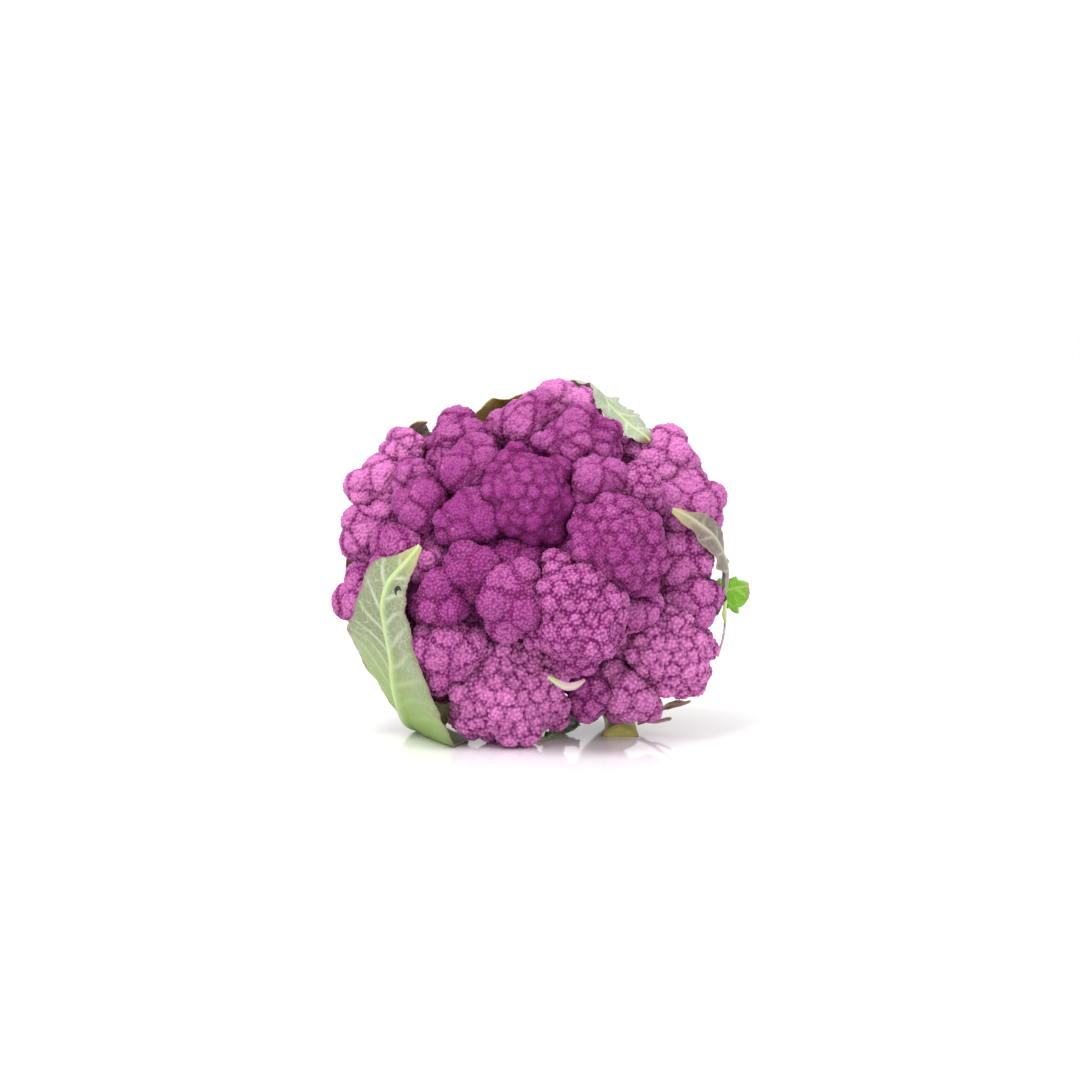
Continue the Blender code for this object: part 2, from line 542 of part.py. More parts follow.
def build_stub(name):
    clock, back, stations = STUBS[name]
    start, out = on_stalk(math.radians(clock), back)
    line = [(*start, 0.075 * MEAN_RADIUS), (*(start + out * STEM_START), 0.075 * MEAN_RADIUS)]
    for across, deep, up, radius in stations:
        line.append((*in_head(across, deep, up), radius * MEAN_RADIUS))
    line = [line[0]] + through(line[1:], LEAF_STEPS)
    rings = []
    for i, step in enumerate(line):
        ahead = Vector(line[min(i + 1, len(line) - 1)][:3])
        tangent = (ahead - Vector(line[max(i - 1, 0)][:3])).normalized() if i else out
        flat = AXIS - tangent * AXIS.dot(tangent)
        flat.normalize()
        side = flat.cross(tangent)
        ring = []
        for k in range(STUB_SIDES):
            angle = 2.0 * math.pi * (k + 0.5) / STUB_SIDES
            ring.append(Vector(step[:3]) + (flat * math.cos(angle) + side * math.sin(angle)) * step[3])
        rings.append(ring)
    return skin(rings)


def clear_below(bm):
    """Flattens what would be under the table."""
    cut_flat(bm, Vector((0.0, 0.0, 0.0)), Vector((0.0, 0.0, -1.0)))
    return bm


curd_balls = [ball for name in FLORETS for ball in knobs[name] + branch_of(name)[:2]]
curd_balls += [(centres[name], CORE * radii[name]) for name in FLORETS]

for name in FLORETS:
    add_piece(name, build_floret(name), (0.40, 0.10, 0.32), 0.55)
add_piece("stalk", build_stalk(), (0.62, 0.68, 0.36), 0.60)
for name in LEAVES:
    add_piece(name, clear_below(build_leaf(name)), (0.42, 0.52, 0.30), 0.50)
for name in SCRAPS:
    add_piece(name, clear_below(build_scrap(name)), (0.45, 0.45, 0.28), 0.55)
for name in STUBS:
    add_piece(name, clear_below(build_stub(name)), (0.50, 0.55, 0.18), 0.50)
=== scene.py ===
import math

import bmesh
import bpy
import numpy as np
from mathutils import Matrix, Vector, kdtree
from mathutils.bvhtree import BVHTree


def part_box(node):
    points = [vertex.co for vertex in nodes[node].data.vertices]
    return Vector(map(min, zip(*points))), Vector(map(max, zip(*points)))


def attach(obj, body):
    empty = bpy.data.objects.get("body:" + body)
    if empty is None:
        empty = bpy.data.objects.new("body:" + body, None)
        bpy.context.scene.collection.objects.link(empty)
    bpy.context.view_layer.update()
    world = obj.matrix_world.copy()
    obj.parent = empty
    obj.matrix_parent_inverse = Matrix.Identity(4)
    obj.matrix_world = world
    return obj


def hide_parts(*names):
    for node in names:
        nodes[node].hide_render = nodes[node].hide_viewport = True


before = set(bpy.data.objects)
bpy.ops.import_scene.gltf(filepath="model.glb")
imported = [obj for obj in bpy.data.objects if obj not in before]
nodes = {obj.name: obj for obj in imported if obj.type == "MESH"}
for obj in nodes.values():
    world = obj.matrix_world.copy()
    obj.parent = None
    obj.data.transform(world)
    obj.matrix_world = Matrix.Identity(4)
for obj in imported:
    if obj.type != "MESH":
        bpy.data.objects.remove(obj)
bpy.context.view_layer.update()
rng = np.random.default_rng(17)
print("frame loaded,", len(nodes), "pieces")

# the head in the frame, and the way that the curd faces along the stalk
head = {
    "middle": Vector((0.008, 0.031, 0.0725)),
    "half": Vector((0.0825, 0.065, 0.0755)),
    "meanRadius": 0.079,
    "tilt": math.radians(25.0),
    "stalkRadius": 0.0185,
    "stalkEnd": 0.064,
    "crown": 0.018,
    "rootStep": 0.006,      # how far leaves and cut leaf stalks go straight out of the stalk
}
stalkWay = Vector((0.0, -math.cos(head["tilt"]), math.sin(head["tilt"])))
stalkSide = Vector((0.0, math.sin(head["tilt"]), math.cos(head["tilt"])))
root = head["middle"] - stalkWay * head["crown"]


def inHead(across, back, up):
    half = head["half"]
    return head["middle"] + Vector((across * half.x, back * half.y, up * half.z))


def getPoints(mesh):
    flat = np.empty(len(mesh.vertices) * 3, np.float32)
    mesh.vertices.foreach_get("co", flat)
    return flat.reshape(-1, 3).astype(np.float64)


def setPoints(mesh, points):
    mesh.vertices.foreach_set("co", points.astype(np.float32).ravel())
    mesh.update()


def getNormals(mesh):
    flat = np.empty(len(mesh.vertices) * 3, np.float32)
    mesh.vertices.foreach_get("normal", flat)
    return flat.reshape(-1, 3).astype(np.float64)


def addMask(mesh, name, values):
    layer = mesh.attributes.new(name, "FLOAT", "POINT")
    layer.data.foreach_set("value", np.ascontiguousarray(values, np.float32))


def addBakeMap(mesh, coords):
    # one place on the map for each point of the mesh
    layer = mesh.uv_layers.new(name="OFBake")
    corners = np.empty(len(mesh.loops), np.int32)
    mesh.loops.foreach_get("vertex_index", corners)
    layer.data.foreach_set("uv", coords[corners].astype(np.float32).ravel())


def unit(rows):
    return rows / np.linalg.norm(rows, axis=1)[:, None]


def smoothShade(mesh):
    mesh.polygons.foreach_set("use_smooth", np.ones(len(mesh.polygons), bool))
    mesh.update()


def placeObject(name, data):
    made = bpy.data.objects.new(name, data)
    bpy.context.scene.collection.objects.link(made)
    return made


def newPiece(name, mesh, material, node):
    piece = placeObject(name, mesh)
    mesh.materials.clear()
    mesh.materials.append(material)
    smoothShade(mesh)
    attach(piece, "root")
    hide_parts(node)


def partTree(names):
    # the named solids of the part, to measure from
    points, faces = [], []
    for name in names:
        mesh = nodes[name].data
        start = len(points)
        points.extend(v.co.copy() for v in mesh.vertices)
        faces.extend(tuple(start + i for i in p.vertices) for p in mesh.polygons)
    return BVHTree.FromPolygons(points, faces)


def newGroup(name, inputs, outputs):
    group = bpy.data.node_groups.new(name, "ShaderNodeTree")
    for label, kind, value in inputs:
        socket = group.interface.new_socket(label, in_out="INPUT", socket_type=kind)
        socket.default_value = value
    for label, kind in outputs:
        group.interface.new_socket(label, in_out="OUTPUT", socket_type=kind)
    inner = group.nodes.new("NodeGroupInput")
    outer = group.nodes.new("NodeGroupOutput")
    return group, inner, outer


def addNode(tree, kind, settings=None, **values):
    made = tree.nodes.new(kind)
    for key, value in (settings or {}).items():
        setattr(made, key, value)
    for key, value in values.items():
        made.inputs[key].default_value = value
    return made


def feed(tree, socket, value):
    # a number or a colour is set on the socket, and anything else is linked to it
    if isinstance(value, (int, float)):
        socket.default_value = value
    elif isinstance(value, tuple):
        socket.default_value = (*value, 1.0)
    else:
        tree.links.new(value, socket)


def addTexture(tree, kind, **values):
    # laid by the piece's own coordinates
    made = addNode(tree, kind, **values)
    place = tree.nodes.new("ShaderNodeTexCoord")
    tree.links.new(place.outputs["Object"], made.inputs["Vector"])
    return made


def mathNode(tree, operation, first, second, clamp=False):
    made = tree.nodes.new("ShaderNodeMath")
    made.operation = operation
    made.use_clamp = clamp
    feed(tree, made.inputs[0], first)
    feed(tree, made.inputs[1], second)
    return made.outputs[0]


def mixColours(tree, share, first, second):
    made = tree.nodes.new("ShaderNodeMix")
    made.data_type = "RGBA"
    feed(tree, made.inputs[0], share)
    feed(tree, made.inputs[6], first)
    feed(tree, made.inputs[7], second)
    return made.outputs[2]


def softRamp(tree, value, start, end, top=1.0):
    # nothing at start, rising smoothly to top at end
    made = addNode(tree, "ShaderNodeMapRange", {"interpolation_type": "SMOOTHSTEP"})
    feed(tree, made.inputs["Value"], value)
    feed(tree, made.inputs["From Min"], start)
    feed(tree, made.inputs["From Max"], end)
    feed(tree, made.inputs["To Max"], top)
    return made.outputs["Result"]


def maskNode(tree, name):
    made = tree.nodes.new("ShaderNodeAttribute")
    made.attribute_name = name
    return made.outputs["Fac"]


# soft uneven patches, used by every piece
def makePatches():
    group, inner, outer = newGroup(
        "patches",
        [("Size", "NodeSocketFloat", 60.0), ("Contrast", "NodeSocketFloat", 1.0),
         ("Shift", "NodeSocketFloat", 0.0)],
        [("Mask", "NodeSocketFloat")])
    cloud = addTexture(group, "ShaderNodeTexNoise", Detail=5.0, Roughness=0.6)
    group.links.new(inner.outputs["Size"], cloud.inputs["Scale"])
    off = mathNode(group, "SUBTRACT", cloud.outputs["Fac"], 0.5)
    strong = mathNode(group, "MULTIPLY", off, inner.outputs["Contrast"])
    moved = mathNode(group, "ADD", strong, inner.outputs["Shift"])
    mask = mathNode(group, "ADD", moved, 0.5, clamp=True)
    group.links.new(mask, outer.inputs["Mask"])
    return group


# sparse round specks
def makeSpecks():
    group, inner, outer = newGroup(
        "specks",
        [("Size", "NodeSocketFloat", 700.0), ("Spread", "NodeSocketFloat", 0.2)],
        [("Mask", "NodeSocketFloat")])
    dots = addTexture(group, "ShaderNodeTexVoronoi")
    group.links.new(inner.outputs["Size"], dots.inputs["Scale"])
    parted = group.nodes.new("ShaderNodeSeparateColor")
    group.links.new(dots.outputs["Color"], parted.inputs[0])
    chosen = mathNode(group, "LESS_THAN", parted.outputs[0], inner.outputs["Spread"])
    disc = softRamp(group, dots.outputs["Distance"], 0.42, 0.12)
    mask = mathNode(group, "MULTIPLY", chosen, disc)
    group.links.new(mask, outer.inputs["Mask"])
    return group


# the net of small veins between the larger ones
def makeVeinNet():
    group, inner, outer = newGroup(
        "veinNet",
        [("Size", "NodeSocketFloat", 260.0), ("Line", "NodeSocketFloat", 0.06)],
        [("Mask", "NodeSocketFloat")])
    place = group.nodes.new("ShaderNodeTexCoord")
    wobble = addTexture(group, "ShaderNodeTexNoise", Scale=220.0, Detail=2.0)
    small = addNode(group, "ShaderNodeVectorMath", {"operation": "SCALE"}, Scale=0.004)
    group.links.new(wobble.outputs["Color"], small.inputs[0])
    bent = addNode(group, "ShaderNodeVectorMath", {"operation": "ADD"})
    group.links.new(place.outputs["Object"], bent.inputs[0])
    group.links.new(small.outputs[0], bent.inputs[1])
    cells = addNode(group, "ShaderNodeTexVoronoi", {"feature": "DISTANCE_TO_EDGE"})
    group.links.new(bent.outputs[0], cells.inputs["Vector"])
    group.links.new(inner.outputs["Size"], cells.inputs["Scale"])
    thin = softRamp(group, cells.outputs["Distance"], inner.outputs["Line"], 0.0)
    group.links.new(thin, outer.inputs["Mask"])
    return group


patches = makePatches()
specks = makeSpecks()
veinNet = makeVeinNet()
print("shader groups made")


def placeGroup(tree, group, **values):
    made = tree.nodes.new("ShaderNodeGroup")
    made.node_tree = group
    for key, value in values.items():
        made.inputs[key].default_value = value
    return made.outputs[0]


def newMaterial(name, roughness, specular):
    material = bpy.data.materials.new(name)
    material.use_nodes = True
    shader = material.node_tree.nodes["Principled BSDF"]
    shader.inputs["Roughness"].default_value = roughness
    shader.inputs["Specular IOR Level"].default_value = specular
    return material, material.node_tree, shader


def addRoughness(tree, shader, mask, amount, roughness):
    # a little rougher where the mask is high
    rough = mathNode(tree, "MULTIPLY", mask, amount)
    rough = mathNode(tree, "ADD", rough, roughness - 0.1)
    tree.links.new(rough, shader.inputs["Roughness"])


def addBump(tree, shader, height, distance, strength):
    bump = addNode(tree, "ShaderNodeBump", Distance=distance, Strength=strength)
    tree.links.new(height, bump.inputs["Height"])
    tree.links.new(bump.outputs["Normal"], shader.inputs["Normal"])


# the curd: lobes on each floret, knobs on each lobe, beads on each knob
curd = {
    "lobeStep": 0.0009,      # mesh size for the lobes, then for the beads
    "beadStep": 0.00041,
    "swell": 0.0003,         # how far a floret is let out, so that it presses on the next one
    "lobeSpacing": 0.0125, "lobeRound": (0.0052, 0.0092), "lobeDepth": 0.0024,
    "lobeShare": 0.66,       # a lobe's radius against the way to the next one
    "fillRound": (0.54, 0.68), "fillSunk": 0.0002,   # lobes that fill in, against the spacing
    "knobSpacing": 0.0042, "knobRound": 0.92, "knobRise": 0.0002, "knobCore": 0.0006,
    "knobUneven": 0.08, "riseUneven": 0.25,
    "beadSpacing": 0.00165, "beadRound": 0.62, "beadDepth": 0.00052,
    "beadUneven": 0.00005, "beadLift": 0.5, "beadDeepest": 1.7,
    "branchStart": -0.8, "branchFade": 0.2,          # where beads end, towards the branch
    "lobeCrease": 0.0034, "knobCrease": 0.0012,      # how wide the painted crease shade is
    "cleftReach": 0.0055,    # how near another floret counts as a cleft, for the painted cleft shade
    # painted shade in the creases and clefts, and how strong it is
    "lobeShade": 0.70, "knobShade": 0.26, "beadShade": 0.58, "cleftShade": 0.75,
    "shadeAll": 1.25, "shadeLess": 0.55,             # paler florets have fainter painted crease shade
    "showStart": 0.68, "showFade": 0.36, "showLeast": 0.5,   # small beads show less
    # painted highlight on the bead tops, then the grain and dust shares
    "beadTopHighlight": 0.20, "grainShare": 0.15, "dustShare": 0.18,
    "stemColour": (0.60, 0.36, 0.50),
    "paleColour": (0.76, 0.25, 0.58),
    "bodyColour": (0.215, 0.014, 0.155),
    "paintedCreaseShade": (0.15, 0.010, 0.095),
    "paintedCleftShade": (0.070, 0.0015, 0.032),
    "beadHighlightColour": (0.72, 0.24, 0.56),
    "dustColour": (0.80, 0.50, 0.66),
    "roughness": 0.62, "specular": 0.10,
}

# the tone, from 0 dark magenta to 1 pale pink, partly the floret's own colour and partly painted
# light and shade (paler low down where the floor lights it, and paler on florets that lie in shade),
# and the beads' size against the usual
florets = {
    "floret_apex": (0.00, 0.72),
    "floret_upper_middle": (0.24, 0.78),
    "floret_upper_inner": (0.34, 0.78),
    "floret_top": (0.70, 0.80),
    "floret_right_inner": (0.22, 0.80),
    "floret_left_inner": (0.14, 0.80),
    "floret_under_left": (0.00, 0.85),
    "floret_left_front": (0.12, 0.85),
    "floret_upper_left": (0.26, 0.82),
    "floret_left_shoulder": (0.74, 0.85),
    "floret_left_middle": (0.40, 0.85),
    "floret_left_upper": (0.72, 0.90),
    "floret_left_side": (0.50, 0.90),
    "floret_left_lower": (0.24, 0.95),
    "floret_middle_left": (0.05, 0.95),
    "floret_middle_small": (0.05, 0.95),
    "floret_middle_deep": (0.00, 0.95),
    "floret_centre_left": (0.20, 0.95),
    "floret_centre": (0.44, 1.00),
    "floret_right_centre": (0.15, 0.90),
    "floret_bottom_left": (0.88, 1.10),
    "floret_bottom_right": (0.90, 1.08),
    "floret_bottom_right_low": (0.88, 1.08),
    "floret_low_left": (0.54, 1.00),
    "floret_upper_right": (0.74, 0.90),
    "floret_right_upper": (0.54, 0.90),
}
usualFloret = (0.46, 0.95)
floretNames = sorted(name for name in nodes if name.startswith("floret_"))


def treeOf(seeds):
    tree = kdtree.KDTree(len(seeds))
    for i, seed in enumerate(seeds.tolist()):
        tree.insert(seed, i)
    tree.balance()
    return tree


def nearestTwo(points, seeds):
    # which seed is nearest, how far it is, and how far the next one is
    tree = treeOf(seeds)
    which = np.empty(len(points), np.int64)
    far = np.empty(len(points))
    following = np.empty(len(points))
    for i, point in enumerate(points.tolist()):
        found = tree.find_n(point, 2)
        which[i] = found[0][1]
        far[i] = found[0][2]
        following[i] = found[-1][2]
    return which, far, following


# shares of the spacing: a cell of one candidate, and the least way to another place
scatterCell = 0.55
scatterApart = 0.76
scatterKept = 0.75


def scatter(points, spacing, keepFrom=None):
    # evenly spread places on the surface: one candidate in each small cell, then those too
    # near an earlier one are left out. Gives their row numbers
    order = rng.permutation(len(points))
    cells = np.floor(points[order] / (scatterCell * spacing)).astype(np.int64)
    picked = np.unique(cells, axis=0, return_index=True)[1]
    rng.shuffle(picked)
    rows = order[picked]
    seeds = points[rows]
    tree = treeOf(seeds)
    dropped = np.zeros(len(seeds), bool)
    if keepFrom is not None:
        for place in keepFrom.tolist():
            for _, other, _ in tree.find_range(place, scatterKept * spacing):
                dropped[other] = True
    for i, seed in enumerate(seeds.tolist()):
        if dropped[i]:
            continue
        for _, other, _ in tree.find_range(seed, scatterApart * spacing):
            if other != i:
                dropped[other] = True
    return rows[~dropped]


def unitBall(detail):
    bm = bmesh.new()
    bmesh.ops.create_icosphere(bm, subdivisions=detail, radius=1.0)
    points = np.array([vert.co[:] for vert in bm.verts])
    faces = np.array([[vert.index for vert in face.verts] for face in bm.faces])
    bm.free()
    return points, faces


ballPoints, ballFaces = unitBall(3)


def trianglesOf(mesh):
    mesh.calc_loop_triangles()
    flat = np.empty(len(mesh.loop_triangles) * 3, np.int32)
    mesh.loop_triangles.foreach_get("vertices", flat)
    return flat.reshape(-1, 3)


def meshFrom(name, points, faces):
    mesh = bpy.data.meshes.new(name)
    mesh.vertices.add(len(points))
    mesh.vertices.foreach_set("co", points.astype(np.float32).ravel())
    mesh.loops.add(len(faces) * 3)
    mesh.loops.foreach_set("vertex_index", faces.astype(np.int32).ravel())
    mesh.polygons.add(len(faces))
    mesh.polygons.foreach_set("loop_start", np.arange(0, len(faces) * 3, 3, dtype=np.int32))
    mesh.update(calc_edges=True)
    return mesh


def withBalls(points, faces, centres, radii):
    # the mesh with a ball at each centre
    many = centres[:, None, :] + ballPoints[None, :, :] * radii[:, None, None]
    starts = len(points) + np.arange(len(centres)) * len(ballPoints)
    more = ballFaces[None, :, :] + starts[:, None, None]
    return np.vstack([points, many.reshape(-1, 3)]), np.vstack([faces, more.reshape(-1, 3)])


def oneSkin(name, points, faces, step, passes):
    # one skin round everything in the mesh, evenly divided
    source = placeObject("temp", meshFrom("temp", points, faces))
    grid = source.modifiers.new("grid", "REMESH")
    grid.mode = "VOXEL"
    grid.voxel_size = step
    soft = source.modifiers.new("soft", "SMOOTH")
    soft.factor = 0.5
    soft.iterations = passes
    graph = bpy.context.evaluated_depsgraph_get()
    mesh = bpy.data.meshes.new_from_object(source.evaluated_get(graph))
    old = source.data
    bpy.data.objects.remove(source)
    bpy.data.meshes.remove(old)
    mesh.name = name
    return mesh


def lobeTops(points, middle, spacing):
    # the highest points of the part's own knobs
    height = np.linalg.norm(points - middle, axis=1)
    away = np.linalg.norm(points[:, None, :] - points[None, :, :], axis=2)
    highest = np.where(away < 0.45 * spacing, height[None, :], 0.0).max(1)
    return points[height >= highest - 1e-7]


def creaseMask(near, following, width):
    return np.clip(1.0 - (following - near) / width, 0.0, 1.0)


def meets(name, lowest, highest):
    low, high = (np.array(corner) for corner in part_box(name))
    return (low < highest).all() and (high > lowest).all()


def makeFloret(name, material):
    toneAndLight, bead = florets.get(name, usualFloret)
    low, high = (np.array(corner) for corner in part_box(name))
    middle = (low + high) / 2
    size = np.linalg.norm(high - low)
    outward = middle - np.array(root)
    outward /= np.linalg.norm(outward)

    # lobes stand on the part's own knobs
    corners = getPoints(nodes[name].data)
    kept, index = np.unique(np.round(corners, 6), axis=0, return_inverse=True)
    faces = index.reshape(-1)[trianglesOf(nodes[name].data)]
    first, second, third = faces.T
    faces = faces[(first != second) & (second != third) & (first != third)]
    spacing = curd["lobeSpacing"]
    tops = lobeTops(kept, middle, spacing)
    apart = np.linalg.norm(tops[:, None, :] - tops[None, :, :], axis=2) + np.eye(len(tops))
    radii = np.clip(curd["lobeShare"] * apart.min(1), *curd["lobeRound"])
    ways = tops - middle
    ways = unit(ways)
    centres = tops + ways * (curd["swell"] - radii)[:, None]
    # more lobes fill the sides between them
    rough = oneSkin("temp", kept, faces, curd["lobeStep"] * 2.0, 2)
    points, normals = getPoints(rough), getNormals(rough)
    bpy.data.meshes.remove(rough)
    rows = scatter(points, spacing, tops)
    fill = rng.uniform(*curd["fillRound"], len(rows)) * spacing
    sunk = (fill - curd["fillSunk"])[:, None]
    centres = np.vstack([centres, points[rows] - normals[rows] * sunk])
    radii = np.concatenate([radii, fill])
    tops = np.vstack([tops, points[rows]])
    inside = middle + (kept - middle) * (1.0 - 2.0 * curd["lobeDepth"] / size)
    rough = oneSkin("temp", *withBalls(inside, faces, centres, radii), curd["lobeStep"], 3)
    points, normals = getPoints(rough), getNormals(rough)
    faces = trianglesOf(rough)
    bpy.data.meshes.remove(rough)

    # knobs on the lobes, none on the branch side
    spacing = curd["knobSpacing"] * (0.4 + 0.6 * bead)
    rows = scatter(points, spacing)
    side = ((points[rows] - middle) @ outward) / (0.5 * size)
    rows = rows[side > curd["branchStart"]]
    knobs = points[rows] + normals[rows] * curd["swell"]
    uneven = rng.standard_normal(len(rows)).clip(-2, 2)
    radii = spacing * curd["knobRound"] * (1.0 + curd["knobUneven"] * uneven)
    uneven = rng.standard_normal(len(rows)).clip(-1.5, 1.5)
    rise = curd["knobRise"] * (1.0 + curd["riseUneven"] * uneven)
    centres = knobs + normals[rows] * (rise - radii)[:, None]
    core = points + normals * (curd["swell"] - curd["knobCore"])
    mesh = oneSkin(name + "_curd", *withBalls(core, faces, centres, radii), curd["beadStep"], 1)

    # beads on the knobs
    points, normals = getPoints(mesh), getNormals(mesh)
    side = ((points - middle) @ outward) / (0.5 * size)
    share = np.clip((side - curd["branchStart"]) / curd["branchFade"], 0.0, 1.0)
    spacing = curd["beadSpacing"] * bead
    seeds = points[scatter(points, spacing)]
    which, near, _ = nearestTwo(points, seeds)
    ball = curd["beadRound"] * spacing
    sunk = ball - np.sqrt(np.maximum(ball * ball - near * near, (0.3 * ball) ** 2))
    proud = curd["beadUneven"] * rng.standard_normal(len(seeds)).clip(-1.5, 1.5)
    depth = curd["beadDepth"] * bead
    deepest = depth * curd["beadDeepest"]
    move = depth * curd["beadLift"] + proud[which] - deepest * np.tanh(sunk / deepest)
    beadDip = np.clip(sunk / depth, 0.0, 1.0)

    # how near the other florets are, for the painted shade in the clefts
    beside = 0.004
    others = [other for other in floretNames
              if other != name and meets(other, low - beside, high + beside)]
    tree = partTree(others)
    reach = curd["cleftReach"]
    gap = np.zeros(len(points))
    for i, point in enumerate(points.tolist()):
        found = tree.find_nearest(point, reach)
        if found[0] is not None:
            gap[i] = 1.0 - found[3] / reach

    _, near, following = nearestTwo(points, knobs)
    knobDip = creaseMask(near, following, curd["knobCrease"])
    _, near, following = nearestTwo(points, tops)
    lobeDip = creaseMask(near, following, curd["lobeCrease"])
    points = points + normals * (move * share)[:, None]
    points[:, 2] = np.maximum(points[:, 2], 0.0)
    setPoints(mesh, points)
    addMask(mesh, "lobeDip", lobeDip)
    addMask(mesh, "knobDip", knobDip)
    addMask(mesh, "beadDip", beadDip)
    addMask(mesh, "gap", gap)
    addMask(mesh, "toneAndLight", np.full(len(points), toneAndLight))
    beadShow = (bead - curd["showStart"]) / curd["showFade"]
    beadShow = min(max(beadShow, curd["showLeast"]), 1.0)
    addMask(mesh, "beadShow", np.full(len(points), beadShow))
    addMask(mesh, "branch", 1.0 - share)

    # the bake map is the floret seen from its own top, opened out flat
    ways = points - (middle - outward * 0.2 * size)
    ways = unit(ways)
    first = np.cross(outward, (0.0, 0.0, 1.0) if abs(outward[2]) < 0.9 else (1.0, 0.0, 0.0))
    first /= np.linalg.norm(first)
    second = np.cross(outward, first)
    away = np.arccos(np.clip(ways @ outward, -1.0, 1.0)) / math.pi
    flat = np.stack([ways @ first, ways @ second], 1)
    flat /= np.maximum(np.linalg.norm(flat, axis=1), 1e-9)[:, None]
    addBakeMap(mesh, 0.5 + 0.49 * flat * away[:, None])
    newPiece(name + "_curd", mesh, material, name)


def makeCurdMaterial():
    material, tree, shader = newMaterial("curd", curd["roughness"], curd["specular"])
    # each floret's tone: partly its own colour, partly painted light and shade
    toneAndLight = maskNode(tree, "toneAndLight")
    blotch = placeGroup(tree, patches, Size=45.0, Contrast=1.6)
    fine = placeGroup(tree, patches, Size=420.0, Contrast=1.4)
    lift = mathNode(tree, "SUBTRACT", blotch, 0.5)
    lift = mathNode(tree, "MULTIPLY", lift, 0.5)
    lift = mathNode(tree, "ADD", toneAndLight, lift, clamp=True)
    body = mixColours(tree, lift, curd["bodyColour"], curd["paleColour"])
    grain = mathNode(tree, "MULTIPLY", fine, curd["grainShare"])
    body = mixColours(tree, grain, body, curd["paleColour"])
    # painted shade: darker between lobes, knobs and beads, and darkest in the clefts between florets
    crease = mathNode(tree, "MULTIPLY", maskNode(tree, "lobeDip"), curd["lobeShade"])
    knobLine = mathNode(tree, "MULTIPLY", maskNode(tree, "knobDip"), curd["knobShade"])
    crease = mathNode(tree, "ADD", crease, knobLine)
    beadShow = maskNode(tree, "beadShow")
    beadLine = mathNode(tree, "MULTIPLY", maskNode(tree, "beadDip"), beadShow)
    beadLine = mathNode(tree, "MULTIPLY", beadLine, curd["beadShade"])
    crease = mathNode(tree, "ADD", crease, beadLine)
    less = mathNode(tree, "MULTIPLY", toneAndLight, curd["shadeLess"])
    strength = mathNode(tree, "SUBTRACT", curd["shadeAll"], less)
    crease = mathNode(tree, "MULTIPLY", crease, strength, clamp=True)
    colour = mixColours(tree, crease, body, curd["paintedCreaseShade"])
    # painted shade in the clefts, darkest where another floret is nearest
    cleft = mathNode(tree, "POWER", maskNode(tree, "gap"), 2.0)
    cleft = mathNode(tree, "MULTIPLY", cleft, curd["cleftShade"], clamp=True)
    colour = mixColours(tree, cleft, colour, curd["paintedCleftShade"])
    # painted highlight: each bead is paler on its top
    top = softRamp(tree, maskNode(tree, "beadDip"), 0.45, 0.0, curd["beadTopHighlight"])
    pale = mathNode(tree, "MULTIPLY", top, beadShow)
    colour = mixColours(tree, pale, colour, curd["beadHighlightColour"])
    dust = placeGroup(tree, specks, Size=420.0, Spread=0.05)
    dust = mathNode(tree, "MULTIPLY", dust, curd["dustShare"])
    colour = mixColours(tree, dust, colour, curd["dustColour"])
    colour = mixColours(tree, maskNode(tree, "branch"), colour, curd["stemColour"])
    tree.links.new(colour, shader.inputs["Base Color"])
    addRoughness(tree, shader, fine, 0.2, curd["roughness"])
    grit = addTexture(tree, "ShaderNodeTexNoise", Scale=1500.0, Detail=3.0)
    addBump(tree, shader, grit.outputs["Fac"], 0.0003, 0.35)
    return material


curdMaterial = makeCurdMaterial()
for name in floretNames:
    makeFloret(name, curdMaterial)
print("curd made")


def alongLine(stations, steps):
    # a smooth line through the stations, each a row of numbers
    rows = np.array(stations, float)
    made = []
    last = len(rows) - 1
    for i in range(last):
        a, b, c, d = rows[max(i - 1, 0)], rows[i], rows[i + 1], rows[min(i + 2, last)]
        for k in range(steps):
            t = k / steps
            made.append(0.5 * (2 * b + (c - a) * t + (2 * a - 5 * b + 4 * c - d) * t ** 2
                               + (3 * b - a - 3 * c + d) * t ** 3))
    made.append(rows[last])
    return np.array(made)


def onStalk(clock, back):
    turn = math.radians(clock)
    out = Vector((1.0, 0.0, 0.0)) * math.cos(turn) + stalkSide * math.sin(turn)
    return head["middle"] - stalkWay * back + out * head["stalkRadius"], out


def stationRows(look):
    # stations in half sizes of the head become points and half widths in metres
    rows = []
    if "clock" in look:
        start, out = onStalk(look["clock"], look["back"])
        half = 0.07 * head["meanRadius"]
        rows.append((*start, half, half))
        rows.append((*(start + out * head["rootStep"]), half, half))
    for across, back, up, left, right in look["line"]:
        halves = (left * head["meanRadius"], right * head["meanRadius"])
        rows.append((*inHead(across, back, up), *halves))
    return rows


def blurGrid(grid, passes):
    for _ in range(passes):
        padded = np.pad(grid, 1, mode="edge")
        grid = sum(padded[1 + a:padded.shape[0] - 1 + a, 1 + b:padded.shape[1] - 1 + b]
                   for a in (-1, 0, 1) for b in (-1, 0, 1)) / 9.0
    return grid


curdTrees = {}


def curdTree(name):
    if name not in curdTrees:
        graph = bpy.context.evaluated_depsgraph_get()
        curdTrees[name] = BVHTree.FromObject(bpy.data.objects[name + "_curd"], graph)
    return curdTrees[name]


